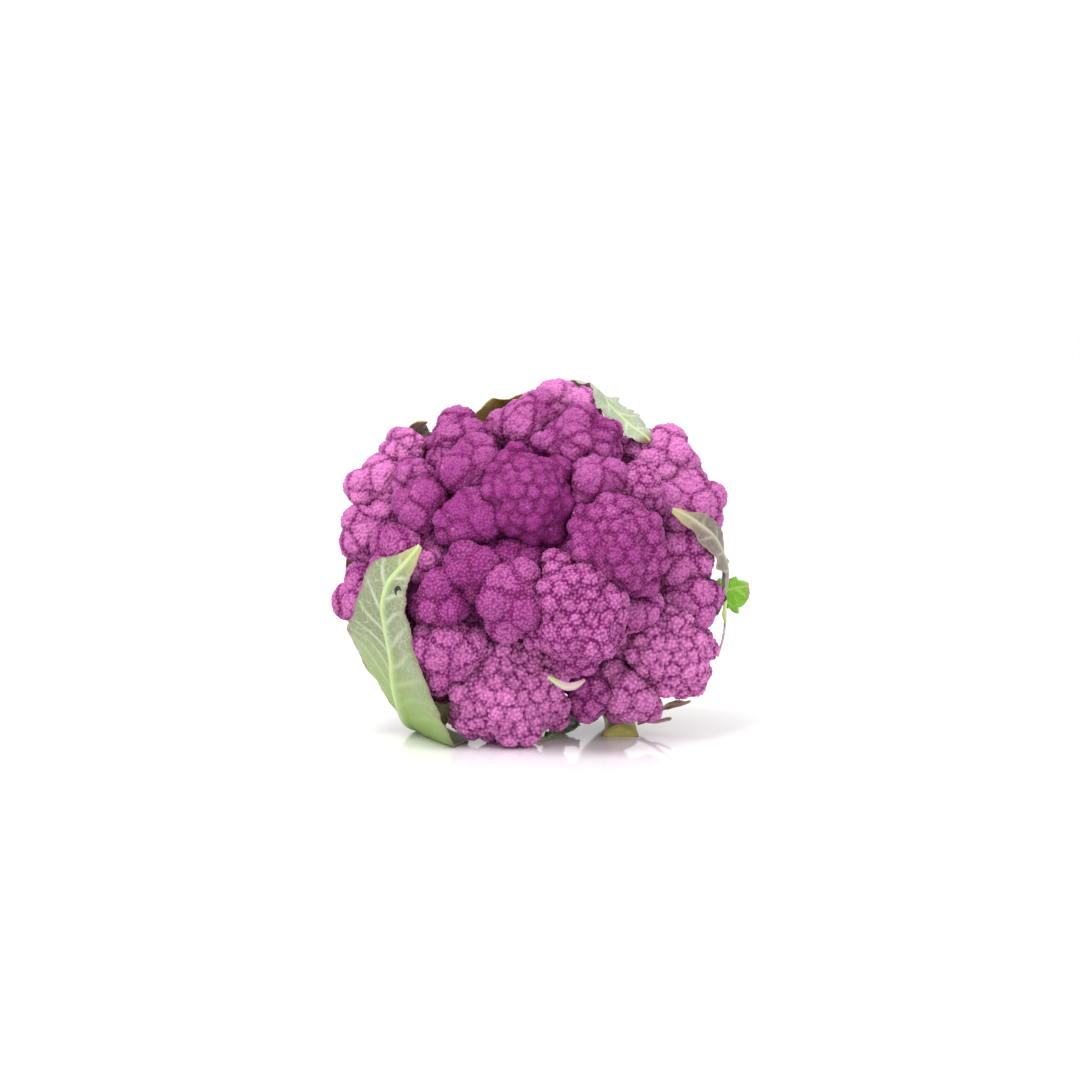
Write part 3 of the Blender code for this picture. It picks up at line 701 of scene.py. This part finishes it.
usualLeaf = {
    "back": 0.040, "facing": None, "turnedBy": 0.6,
    "steps": 12, "across": 49,
    "blade": 0.0007, "edge": 0.0003,
    "ribHalf": 0.0026, "ribHeight": 0.0022, "ribTip": 0.25,
    "veinSpacing": 0.011, "veinSlope": 1.1, "veinHeight": 0.00035, "veinHalf": 0.0006,
    "tooth": 0.0008, "toothSpacing": 0.0035,
    "ruffle": 0.0010, "ruffleLength": 0.014,
    "clear": 0.0006, "searchUp": 0.007,     # how far off the curd, and from how high it is felt for
    "searchDeep": 0.03, "searchReach": 0.1,
    "settle": 10,                           # smoothing of the height taken from the part
    "floorGap": 0.0002,
    "marginStart": 0.86,
    "bladeColour": (0.30, 0.33, 0.23), "bladeColour2": (0.20, 0.26, 0.13),
    "baseColour": (0.30, 0.44, 0.10), "baseReach": 0.55,
    "ribColour": (0.44, 0.58, 0.14), "veinColour": (0.52, 0.57, 0.42),
    "edgeColour": (0.26, 0.14, 0.20), "edgeShare": 0.6,
    "tipColour": (0.40, 0.36, 0.16), "tipReach": 0.1,
    "spotColour": (0.30, 0.22, 0.08), "spotShare": 0.12,
    "roughness": 0.42, "specular": 0.4, "netShare": 0.4, "veinShare": 0.8,
    "mark": None, "markRound": (0.0021, 0.0018), "markShift": 0.0012,
    "markColour": (0.015, 0.010, 0.010),
}

leaves = {
    "leaf_left": {
        "clock": 222,
        "line": [
            (-0.36, 0.46, -0.74, 0.08, 0.08), (-0.52, 0.22, -0.91, 0.07, 0.10),
            (-0.62, -0.02, -0.90, 0.06, 0.44), (-0.66, -0.24, -0.77, 0.18, 0.47),
            (-0.68, -0.38, -0.61, 0.35, 0.43), (-0.68, -0.50, -0.45, 0.38, 0.34),
            (-0.70, -0.58, -0.30, 0.27, 0.25), (-0.72, -0.64, -0.16, 0.20, 0.20),
            (-0.69, -0.70, -0.03, 0.15, 0.14), (-0.62, -0.76, 0.07, 0.08, 0.07),
            (-0.54, -0.80, 0.18, 0.015, 0.015)],
        "ribHalf": 0.0032, "ribHeight": 0.0030, "ruffle": 0.0004,
        "tooth": 0.0011, "toothSpacing": 0.0028,
        "bladeColour": (0.23, 0.25, 0.145), "bladeColour2": (0.155, 0.19, 0.085),
        "ribColour": (0.34, 0.52, 0.07), "veinColour": (0.54, 0.60, 0.43),
        "baseColour": (0.26, 0.40, 0.07), "baseReach": 0.80,
        "edgeColour": (0.20, 0.06, 0.12), "edgeShare": 0.95, "netShare": 0.36,
        "mark": (0.82, -0.5),
    },
    "leaf_right": {
        "clock": 350,
        "line": [
            (0.56, 0.78, -0.24, 0.08, 0.08), (0.88, 0.50, -0.25, 0.09, 0.09),
            (0.98, 0.20, -0.24, 0.07, 0.07), (1.00, 0.09, -0.16, 0.09, 0.08),
            (1.01, -0.02, -0.04, 0.11, 0.09), (0.98, -0.11, 0.06, 0.11, 0.09),
            (0.93, -0.20, 0.14, 0.10, 0.08), (0.86, -0.28, 0.22, 0.08, 0.05),
            (0.78, -0.34, 0.30, 0.05, 0.03), (0.72, -0.37, 0.34, 0.02, 0.02)],
        "bladeColour": (0.20, 0.19, 0.11), "bladeColour2": (0.15, 0.085, 0.11),
        "ribColour": (0.46, 0.46, 0.26), "veinColour": (0.42, 0.39, 0.33),
        "edgeColour": (0.34, 0.30, 0.14), "edgeShare": 0.8, "netShare": 0.3,
    },
    "leaf_top_right": {
        "clock": 68, "facing": (0.25, -0.85, 0.35),
        "line": [
            (0.14, 0.74, 0.48, 0.09, 0.09), (0.22, 0.60, 0.80, 0.08, 0.08),
            (0.27, 0.43, 0.97, 0.07, 0.07), (0.34, 0.30, 0.92, 0.08, 0.08),
            (0.42, 0.20, 0.85, 0.08, 0.09), (0.50, 0.11, 0.78, 0.08, 0.08),
            (0.56, 0.04, 0.71, 0.06, 0.06), (0.61, -0.03, 0.64, 0.015, 0.015)],
        "bladeColour": (0.34, 0.38, 0.28), "bladeColour2": (0.24, 0.29, 0.17),
        "tipColour": (0.20, 0.09, 0.04), "tipReach": 0.05,
        "ribHalf": 0.0012, "ribHeight": 0.0006, "tooth": 0.0020, "toothSpacing": 0.0045,
    },
    "leaf_top_back": {
        "clock": 108,
        "line": [
            (-0.12, 0.82, 0.44, 0.10, 0.12), (-0.14, 0.74, 0.58, 0.10, 0.22),
            (-0.10, 0.64, 0.68, 0.10, 0.25), (-0.02, 0.58, 0.77, 0.07, 0.20),
            (0.07, 0.54, 0.86, 0.04, 0.11), (0.14, 0.52, 0.92, 0.02, 0.02)],
        "bladeColour": (0.36, 0.44, 0.05), "bladeColour2": (0.34, 0.34, 0.06),
        "edgeColour": (0.40, 0.14, 0.06), "edgeShare": 0.15, "tipColour": (0.36, 0.42, 0.06),
    },
    "leaf_back_right": {
        "clock": 30,
        "line": [
            (0.34, 0.78, 0.30, 0.11, 0.10), (0.56, 0.70, 0.46, 0.17, 0.16),
            (0.68, 0.54, 0.62, 0.14, 0.14), (0.71, 0.34, 0.71, 0.03, 0.03)],
    },
    "leaf_back_left": {
        "clock": 147,
        "line": [
            (-0.38, 0.82, 0.26, 0.13, 0.13), (-0.56, 0.71, 0.46, 0.18, 0.18),
            (-0.62, 0.52, 0.64, 0.14, 0.14), (-0.55, 0.31, 0.77, 0.03, 0.03)],
    },
    "leaf_side_left": {
        "clock": 186,
        "line": [
            (-0.44, 0.78, -0.16, 0.11, 0.11), (-0.72, 0.64, -0.08, 0.17, 0.17),
            (-0.88, 0.44, -0.02, 0.15, 0.15), (-0.93, 0.28, 0.06, 0.04, 0.04)],
    },
    "leaf_under": {
        "clock": 284, "back": 0.036,
        "line": [
            (0.12, 0.50, -0.78, 0.06, 0.06), (0.17, 0.20, -0.90, 0.07, 0.07),
            (0.17, -0.10, -0.92, 0.08, 0.09), (0.11, -0.28, -0.93, 0.06, 0.06),
            (0.03, -0.40, -0.93, 0.02, 0.02)],
        "bladeColour": (0.14, 0.20, 0.05), "bladeColour2": (0.10, 0.14, 0.04),
    },
    "leaf_torn_bright": {
        "facing": (0, -1, 0), "turnedBy": 0.0, "slot": "torn_leaf",
        "line": [
            (0.91, 0.61, -0.27, 0.03, 0.03), (0.98, 0.56, -0.23, 0.05, 0.05),
            (1.03, 0.52, -0.20, 0.06, 0.13),
            (1.10, 0.50, -0.18, 0.06, 0.12), (1.16, 0.48, -0.17, 0.02, 0.05)],
        "bladeColour": (0.22, 0.58, 0.03), "bladeColour2": (0.15, 0.46, 0.02),
        "baseColour": (0.28, 0.60, 0.05), "veinColour": (0.40, 0.66, 0.12),
        "ribHalf": 0.0012, "ribHeight": 0.0004, "tooth": 0.0034, "toothSpacing": 0.0065,
    },
    "bract_right": {
        "slot": "bract",
        "line": [
            (0.91, -0.12, -0.23, 0.01, 0.01), (0.97, -0.06, -0.32, 0.04, 0.04),
            (0.99, -0.03, -0.41, 0.04, 0.04), (0.97, -0.02, -0.52, 0.01, 0.01)],
        "bladeColour": (0.46, 0.20, 0.28), "bladeColour2": (0.36, 0.14, 0.22),
        "ribHalf": 0.0010, "ribHeight": 0.0004,
    },
    "bract_front": {
        "slot": "bract",
        "line": [
            (0.10, -0.86, -0.53, 0.010, 0.010), (0.14, -0.89, -0.56, 0.023, 0.023),
            (0.19, -0.91, -0.58, 0.028, 0.028), (0.24, -0.89, -0.57, 0.025, 0.025),
            (0.27, -0.85, -0.55, 0.010, 0.010)],
        "bladeColour": (0.56, 0.34, 0.44), "bladeColour2": (0.50, 0.26, 0.38),
        "baseColour": (0.36, 0.44, 0.14), "baseReach": 0.35, "tipColour": (0.52, 0.34, 0.42),
        "ribHalf": 0.0008, "ribHeight": 0.0003, "tooth": 0.0, "ruffle": 0.0,
    },
    "leaf_torn_brown": {
        "slot": "torn_leaf",
        "line": [
            (0.58, 0.18, -0.90, 0.02, 0.02), (0.65, 0.12, -0.86, 0.03, 0.03),
            (0.72, 0.05, -0.81, 0.03, 0.03), (0.78, -0.02, -0.79, 0.03, 0.03),
            (0.83, -0.06, -0.77, 0.01, 0.01)],
        "bladeColour": (0.46, 0.24, 0.10), "bladeColour2": (0.36, 0.16, 0.06),
        "ribHalf": 0.0008, "ribHeight": 0.0003,
    },
    "leaf_torn_lilac": {
        "slot": "torn_leaf",
        "line": [
            (0.56, 0.04, -0.91, 0.02, 0.02), (0.62, 0.03, -0.89, 0.03, 0.03),
            (0.67, 0.00, -0.89, 0.03, 0.03), (0.73, -0.05, -0.87, 0.01, 0.01)],
        "bladeColour": (0.62, 0.36, 0.50), "bladeColour2": (0.54, 0.28, 0.42),
        "ribHalf": 0.0008, "ribHeight": 0.0003,
    },
}


def makeLeafMaterial(name, look, markPlace):
    material, tree, shader = newMaterial(name, look["roughness"], look["specular"])
    cloud = placeGroup(tree, patches, Size=55.0, Contrast=2.0)
    colour = mixColours(tree, cloud, look["bladeColour"], look["bladeColour2"])
    net = placeGroup(tree, veinNet, Size=300.0, Line=0.07)
    faint = mathNode(tree, "MULTIPLY", net, look["netShare"])
    colour = mixColours(tree, faint, colour, look["veinColour"])
    vein = maskNode(tree, "vein")
    vein = mathNode(tree, "MULTIPLY", vein, look["veinShare"])
    colour = mixColours(tree, vein, colour, look["veinColour"])
    along = maskNode(tree, "along")
    base = softRamp(tree, along, look["baseReach"], 0.5 * look["baseReach"])
    colour = mixColours(tree, base, colour, look["baseColour"])
    tip = softRamp(tree, along, 1.0 - look["tipReach"], 1.0)
    colour = mixColours(tree, tip, colour, look["tipColour"])
    spot = placeGroup(tree, patches, Size=140.0, Contrast=6.0, Shift=-1.1)
    spot = mathNode(tree, "MULTIPLY", spot, look["spotShare"])
    colour = mixColours(tree, spot, colour, look["spotColour"])
    rim = placeGroup(tree, patches, Size=90.0, Contrast=2.0, Shift=0.1)
    rim = mathNode(tree, "MULTIPLY", rim, maskNode(tree, "margin"))
    rim = mathNode(tree, "MULTIPLY", rim, look["edgeShare"])
    colour = mixColours(tree, rim, colour, look["edgeColour"])
    streaks = placeGroup(tree, patches, Size=160.0)
    ribTint = mixColours(tree, streaks, look["ribColour"], look["veinColour"])
    colour = mixColours(tree, maskNode(tree, "rib"), colour, ribTint)
    if markPlace is not None:
        # a small black hook-shaped blemish: one round spot less another
        place = tree.nodes.new("ShaderNodeTexCoord")
        inside = []
        for shift, size in zip((0.0, look["markShift"]), look["markRound"]):
            reach = addNode(tree, "ShaderNodeVectorMath", {"operation": "DISTANCE"})
            tree.links.new(place.outputs["Object"], reach.inputs[0])
            reach.inputs[1].default_value = markPlace + Vector((shift, 0.0, -shift))
            inside.append(mathNode(tree, "LESS_THAN", reach.outputs["Value"], size))
        hook = mathNode(tree, "SUBTRACT", inside[0], inside[1], clamp=True)
        colour = mixColours(tree, hook, colour, look["markColour"])
    tree.links.new(colour, shader.inputs["Base Color"])
    grain = placeGroup(tree, patches, Size=900.0)
    addRoughness(tree, shader, grain, 0.2, look["roughness"])
    height = mathNode(tree, "ADD", mathNode(tree, "MULTIPLY", net, 0.6), grain)
    addBump(tree, shader, height, 0.0002, 0.5)
    return material


def makeLeaf(name):
    look = dict(usualLeaf)
    look.update(leaves[name])
    rows = stationRows(look)
    steps = look["steps"]
    if "clock" in look:
        first = np.array([rows[0]])
        line = np.vstack([first, alongLine(rows[1:], steps)])
    else:
        line = alongLine(rows, steps)
    spots, left, right = line[:, :3], line[:, 3], line[:, 4]
    count = len(line)
    ahead = spots[np.minimum(np.arange(count) + 1, count - 1)]
    behind = spots[np.maximum(np.arange(count) - 1, 0)]
    tangents = ahead - behind
    tangents = unit(tangents)
    length = np.concatenate([[0.0], np.cumsum(np.linalg.norm(np.diff(spots, axis=0), axis=1))])

    out = spots - np.array(head["middle"])
    out = unit(out)
    if look["facing"] is not None:
        facing = np.array(Vector(look["facing"]).normalized())
        turned = np.ones(count)
        if look["turnedBy"]:
            turned = np.minimum(1.0, np.arange(count) / (look["turnedBy"] * count)) ** 3
        out = out * (1.0 - turned[:, None]) + facing * turned[:, None]
    out -= tangents * (out * tangents).sum(1)[:, None]
    out = unit(out)
    sides = np.cross(out, tangents)

    even = np.linspace(-1.0, 1.0, look["across"])
    shares = np.sign(even) * np.abs(even) ** 1.3
    # small teeth along both edges
    toothNoise = rng.uniform(0.4, 1.0, 400)
    edgeWave = []
    for side in (0, 1):
        at = length / look["toothSpacing"] + 0.37 * side
        whole = np.floor(at).astype(int)
        edgeWave.append((at - whole) * toothNoise[(whole + 97 * side) % 400])
    free = np.clip((left + right) / 0.014, 0.0, 1.0)
    left = left + look["tooth"] * (edgeWave[0] - 0.4) * free
    right = right + look["tooth"] * (edgeWave[1] - 0.4) * free
    half = np.where(shares[None, :] >= 0.0, left[:, None], right[:, None])
    offset = shares[None, :] * half
    grid = spots[:, None, :] + sides[:, None, :] * offset[:, :, None]

    # the height at which the leaf lies, from the part itself
    tree = partTree([name])
    lies = np.full(grid.shape[:2], np.nan)
    deep = look["searchDeep"]
    for i in range(count):
        way = Vector(out[i])
        for j in range(len(shares)):
            found = tree.ray_cast(Vector(grid[i, j]) - way * deep, way, look["searchReach"])
            if found[0] is not None:
                lies[i, j] = found[3] - deep
    for i in range(count):
        known = np.flatnonzero(~np.isnan(lies[i]))
        if len(known):
            lies[i] = np.interp(np.arange(len(shares)), known, lies[i, known])
    knownRows = np.flatnonzero(~np.isnan(lies[:, 0]))
    for j in range(len(shares)):
        lies[:, j] = np.interp(np.arange(count), knownRows, lies[knownRows, j])
    lies = blurGrid(lies, look["settle"])

    along = (length / length[-1])[:, None] * np.ones(len(shares))
    edge = np.abs(shares)[None, :] * np.ones((count, 1))
    wave = np.sin(2 * math.pi * length / look["ruffleLength"])[:, None]
    shortWave = np.sin(2 * math.pi * length / (0.6 * look["ruffleLength"]) + 1.3)[:, None]
    wave = wave * np.sign(shares)[None, :] + 0.5 * shortWave
    lies = lies + look["ruffle"] * wave * edge ** 3 * free[:, None]

    taper = look["ribTip"] + (1.0 - look["ribTip"]) * (1.0 - along) ** 0.8
    ribHalf = look["ribHalf"] * taper
    rib = np.exp(-(offset / ribHalf) ** 2)
    ribRound = np.sqrt(np.clip(1.0 - (offset / (1.25 * ribHalf)) ** 2, 0, 1))
    ribRise = look["ribHeight"] * taper * ribRound
    far = np.abs(offset)
    phase = (length[:, None] - far * look["veinSlope"] + far ** 2 * 12.0) / look["veinSpacing"]
    phase = phase + np.where(shares[None, :] > 0, 0.0, 0.45)
    near = np.abs(phase - np.round(phase)) * look["veinSpacing"] * 0.7
    vein = np.exp(-(near / (look["veinHalf"] * (1.3 - 0.8 * edge))) ** 2)
    vein = vein * np.clip(1.15 - edge ** 2, 0, 1) * free[:, None]
    vein = vein * np.clip((far - 0.4 * ribHalf) / ribHalf, 0, 1)
    thick = look["edge"] + (look["blade"] - look["edge"]) * np.clip((1.0 - edge) * 4.0, 0, 1)
    rise = thick + ribRise + look["veinHeight"] * vein
    # held off the knobs under it
    needed = np.zeros(lies.shape)
    around = 0.01
    lowest = grid.reshape(-1, 3).min(0) - around
    highest = grid.reshape(-1, 3).max(0) + around
    near = [curdTree(other) for other in floretNames if meets(other, lowest, highest)]
    fromUp = look["searchUp"]
    reach = fromUp + look["clear"]
    for i in range(count):
        way = Vector(out[i])
        for j in range(len(shares)):
            start = Vector(grid[i, j]) + way * (lies[i, j] + fromUp)
            for tree in near:
                found = tree.ray_cast(start, -way, reach)
                if found[0] is not None:
                    needed[i, j] = max(needed[i, j], reach - found[3])
    held = needed
    for _ in range(6):
        held = np.maximum(needed, blurGrid(held, 1))
    lies = lies + blurGrid(held, 1)
    inner = grid + out[:, None, :] * lies[:, :, None]
    outer = inner + out[:, None, :] * rise[:, :, None]

    # a blade that lies on the floor keeps its thickness above it
    across = len(shares)
    outer[:, :, 2] = np.maximum(outer[:, :, 2], look["floorGap"])
    inner[:, :, 2] = np.maximum(inner[:, :, 2], look["floorGap"] + look["blade"])
    points = np.vstack([outer.reshape(-1, 3), inner.reshape(-1, 3)])
    total = count * across
    i, j = np.meshgrid(np.arange(count - 1), np.arange(across - 1), indexing="ij")
    a = (i * across + j).ravel()
    faces = [np.stack([a, a + 1, a + across + 1, a + across], 1)]
    faces.append(np.stack([a + total, a + total + across, a + total + across + 1, a + total + 1], 1))
    ring = np.concatenate([
        np.arange(across), np.arange(1, count) * across + across - 1,
        (count - 1) * across + np.arange(across - 2, -1, -1), np.arange(count - 2, 0, -1) * across])
    following = np.roll(ring, -1)
    faces.append(np.stack([ring, ring + total, following + total, following], 1))
    mesh = bpy.data.meshes.new(name + "_blade")
    mesh.from_pydata(points.tolist(), [], np.vstack(faces).tolist())
    mesh.validate()
    for label, values in (("rib", rib), ("vein", vein), ("along", along)):
        addMask(mesh, label, np.concatenate([values.ravel(), values.ravel()]))
    start = look["marginStart"]
    margin = np.clip((edge - start) / (1.0 - start), 0, 1) * free[:, None]
    addMask(mesh, "margin", np.concatenate([margin.ravel(), margin.ravel()]))
    u = 0.25 + 0.23 * shares[None, :] * np.ones((count, 1))
    v = 0.01 + 0.98 * along
    flat = np.stack([u.ravel(), v.ravel()], 1)
    addBakeMap(mesh, np.vstack([flat, flat + np.array([0.5, 0.0])]))
    markPlace = None
    if look["mark"] is not None:
        row = int(look["mark"][0] * (count - 1))
        markPlace = Vector(outer[row, np.abs(shares - look["mark"][1]).argmin()])
    material = makeLeafMaterial(name, look, markPlace)
    newPiece(name + "_blade", mesh, material, name)


for name in leaves:
    makeLeaf(name)
print("leaves made")

# cut leaf stalks, and the stalk of the head
usualStem = {
    "sides": 48, "steps": 14, "ridges": 7, "ridgeDepth": 0.05,
    "skinColour": (0.42, 0.56, 0.14), "skinColour2": (0.30, 0.44, 0.10),
    "cutColour": (0.62, 0.60, 0.34), "cutRim": (0.36, 0.30, 0.10),
    "fibreColour": (0.78, 0.76, 0.60), "fibreShare": 0.4,
    "cutSunk": 0.10, "cutRough": 0.010,      # shares of the radius at the cut
    "rootHalf": 0.075, "roughness": 0.45, "specular": 0.4,
}

stems = {
    "stem_stub_front": {
        "clock": 316, "back": 0.048,
        "line": [(0.34, 0.70, -0.72, 0.075), (0.46, 0.30, -0.90, 0.080), (0.47, -0.18, -0.99, 0.105)],
        "skinColour": (0.42, 0.40, 0.06), "skinColour2": (0.30, 0.30, 0.04),
        "cutColour": (0.46, 0.44, 0.12),
    },
    "stem_stub_back": {
        "clock": 258, "back": 0.046,
        "line": [(-0.09, 0.66, -0.74, 0.075), (-0.10, 0.62, -1.04, 0.090)],
    },
    "stem_stub_right": {
        "clock": 12, "back": 0.055,
        "line": [(0.38, 0.96, -0.12, 0.075), (0.46, 0.92, -0.04, 0.070)],
    },
}


def makeStemMaterial(name, look):
    material, tree, shader = newMaterial(name, look["roughness"], look["specular"])
    cloud = placeGroup(tree, patches, Size=70.0, Contrast=2.0)
    skin = mixColours(tree, cloud, look["skinColour"], look["skinColour2"])
    fibre = placeGroup(tree, specks, Size=900.0, Spread=0.5)
    pale = mathNode(tree, "MULTIPLY", fibre, look["fibreShare"])
    inside = mixColours(tree, pale, look["cutColour"], look["fibreColour"])
    inside = mixColours(tree, maskNode(tree, "rim"), inside, look["cutRim"])
    colour = mixColours(tree, maskNode(tree, "cut"), skin, inside)
    tree.links.new(colour, shader.inputs["Base Color"])
    grain = placeGroup(tree, patches, Size=800.0, Contrast=1.2)
    addRoughness(tree, shader, grain, 0.25, look["roughness"])
    addBump(tree, shader, mathNode(tree, "ADD", grain, fibre), 0.0003, 0.5)
    return material


def makeTube(name, look, spots, radii, cutRings=8):
    # a ridged tube along the line, with a rough cut face at its far end
    sides = look["sides"]
    count = len(spots)
    tangents = np.gradient(spots, axis=0)
    tangents = unit(tangents)
    way = np.array(stalkWay)
    flat = way - tangents * (tangents @ way)[:, None]
    if abs(tangents[0] @ way) > 0.9:
        flat = np.array((1.0, 0.0, 0.0)) - tangents * tangents[:, :1]
    flat = unit(flat)
    side = np.cross(flat, tangents)
    angle = 2 * math.pi * np.arange(sides) / sides
    bump = 1.0 - look["ridgeDepth"] * np.abs(np.sin(0.5 * look["ridges"] * angle))
    rings, cut, rim = [], [], []
    for i in range(count):
        wobble = 1.0 + 0.012 * np.sin(angle * 3 + i * 0.7) + 0.01 * np.sin(angle * 5 - i * 0.4)
        reach = radii[i] * bump * wobble
        rings.append(spots[i] + flat[i] * (np.cos(angle) * reach)[:, None]
                     + side[i] * (np.sin(angle) * reach)[:, None])
        cut.append(np.zeros(sides))
        rim.append(np.zeros(sides))
    lastReach = radii[-1] * bump
    for k in range(1, cutRings + 1):
        share = 1.0 - k / (cutRings + 0.5)
        rough = look["cutRough"] * radii[-1] * rng.standard_normal(sides)
        sunk = -look["cutSunk"] * radii[-1] * (1.0 - share ** 2) + rough
        rings.append(spots[-1] + tangents[-1] * sunk[:, None]
                     + flat[-1] * (np.cos(angle) * lastReach * share)[:, None]
                     + side[-1] * (np.sin(angle) * lastReach * share)[:, None])
        cut.append(np.ones(sides))
        rim.append(np.full(sides, 1.0 if k <= 1 else 0.0))
    points = np.vstack(rings)
    points[:, 2] = np.maximum(points[:, 2], 0.0)
    total = len(rings)
    i, j = np.meshgrid(np.arange(total - 1), np.arange(sides), indexing="ij")
    a = (i * sides + j).ravel()
    b = (i * sides + (j + 1) % sides).ravel()
    faces = np.stack([a, b, b + sides, a + sides], 1).tolist()
    faces.append(list(range(sides))[::-1])
    faces.append(list(range((total - 1) * sides, total * sides)))
    mesh = bpy.data.meshes.new(name + "_stem")
    mesh.from_pydata(points.tolist(), [], faces)
    mesh.validate()
    addMask(mesh, "cut", np.concatenate(cut))
    addMask(mesh, "rim", np.concatenate(rim))
    newPiece(name + "_stem", mesh, makeStemMaterial(name, look), name)


for name in stems:
    look = dict(usualStem)
    look.update(stems[name])
    start, out = onStalk(look["clock"], look["back"])
    half = look["rootHalf"]
    rows = [(*start, half), (*(start + out * head["rootStep"]), half)]
    rows += [(*inHead(*row[:3]), row[3]) for row in look["line"]]
    line = alongLine(rows, look["steps"])
    makeTube(name, look, line[:, :3], line[:, 3] * head["meanRadius"])

stalk = dict(usualStem)
stalk.update({
    "sides": 72, "ridges": 0, "ridgeDepth": 0.0,
    "steps": 40, "cutRings": 14, "crownReach": 0.016, "crownHalf": 0.010, "edge": 0.002,
    "skinColour": (0.50, 0.60, 0.28), "skinColour2": (0.60, 0.66, 0.42),
    "cutColour": (0.70, 0.70, 0.50), "cutRim": (0.46, 0.36, 0.18),
})
stalkTop = -head["crown"] + stalk["crownReach"]
stalkFoot = -head["stalkEnd"]
radius = head["stalkRadius"]
stops = np.linspace(stalkTop, stalkFoot, stalk["steps"])
spots = np.array([np.array(head["middle"] + stalkWay * stop) for stop in stops])
# a little narrower at the cut, and narrow where it goes in among the florets
thick = np.interp(
    stops, [stalkFoot, stalkFoot + stalk["edge"], -head["crown"], stalkTop],
    [radius - 0.5 * stalk["edge"], radius, radius, stalk["crownHalf"]])
makeTube("stalk", stalk, spots, thick, stalk["cutRings"])
print("stems made")

# floor, light and camera
studio = {
    "floorSize": 8.0, "floorColour": (0.95, 0.95, 0.95), "paleFloor": (0.97, 0.97, 0.97),
    "floorRoughness": 0.07, "floorGloss": 0.22,
    "glossReach": (0.085, 0.19),       # the gloss fades out between these, round the head
    "skyStrength": 1.05,
    "topLight": {"size": 0.5, "power": 8.5, "place": (-0.25, -0.30, 1.0), "aim": (0, 0, 0.07)},
    "frontLight": {"size": 0.8, "power": 3.0, "place": (0.2, -1.3, 0.35), "aim": (0, 0, 0.05)},
    "lens": 117.0, "cameraAway": 1.5, "cameraUp": math.radians(6.0),
    "aim": Vector((0.0123, 0.031, 0.0832)),
}


def makeFloor():
    bpy.ops.mesh.primitive_plane_add(size=studio["floorSize"], location=(0, 0, 0))
    floor = bpy.context.object
    floor.name = "floor"
    material, tree, shader = newMaterial("floor", studio["floorRoughness"], 0.0)
    place = tree.nodes.new("ShaderNodeTexCoord")
    fromHead = addNode(tree, "ShaderNodeVectorMath", {"operation": "DISTANCE"})
    tree.links.new(place.outputs["Object"], fromHead.inputs[0])
    fromHead.inputs[1].default_value = (head["middle"].x, head["middle"].y, 0.0)
    near, far = studio["glossReach"]
    gloss = softRamp(tree, fromHead.outputs["Value"], far, near, studio["floorGloss"])
    tree.links.new(gloss, shader.inputs["Specular IOR Level"])
    shade = placeGroup(tree, patches, Size=2.0, Contrast=0.05)
    tint = mixColours(tree, shade, studio["floorColour"], studio["paleFloor"])
    tree.links.new(tint, shader.inputs["Base Color"])
    floor.data.materials.append(material)


def makeLamp(name):
    look = studio[name]
    light = bpy.data.lights.new(name, "AREA")
    light.shape = "SQUARE"
    light.size = look["size"]
    light.energy = look["power"]
    lamp = placeObject(name, light)
    lamp.location = look["place"]
    way = Vector(look["aim"]) - lamp.location
    lamp.rotation_euler = way.to_track_quat("-Z", "Y").to_euler()


def makeCamera():
    camera = placeObject("camera", bpy.data.cameras.new("camera"))
    camera.data.lens = studio["lens"]
    camera.data.sensor_width = 36.0
    up = studio["cameraUp"]
    away = Vector((0.0, -math.cos(up), math.sin(up)))
    camera.location = studio["aim"] + away * studio["cameraAway"]
    camera.rotation_euler = (-away).to_track_quat("-Z", "Y").to_euler()
    bpy.context.scene.camera = camera


makeFloor()
world = bpy.data.worlds.new("studio")
bpy.context.scene.world = world
world.use_nodes = True
sky = world.node_tree.nodes["Background"]
sky.inputs["Color"].default_value = (1.0, 1.0, 1.0, 1.0)
sky.inputs["Strength"].default_value = studio["skyStrength"]
makeLamp("topLight")
makeLamp("frontLight")
makeCamera()
bpy.context.scene.view_settings.view_transform = "Standard"
print("floor, light and camera set")
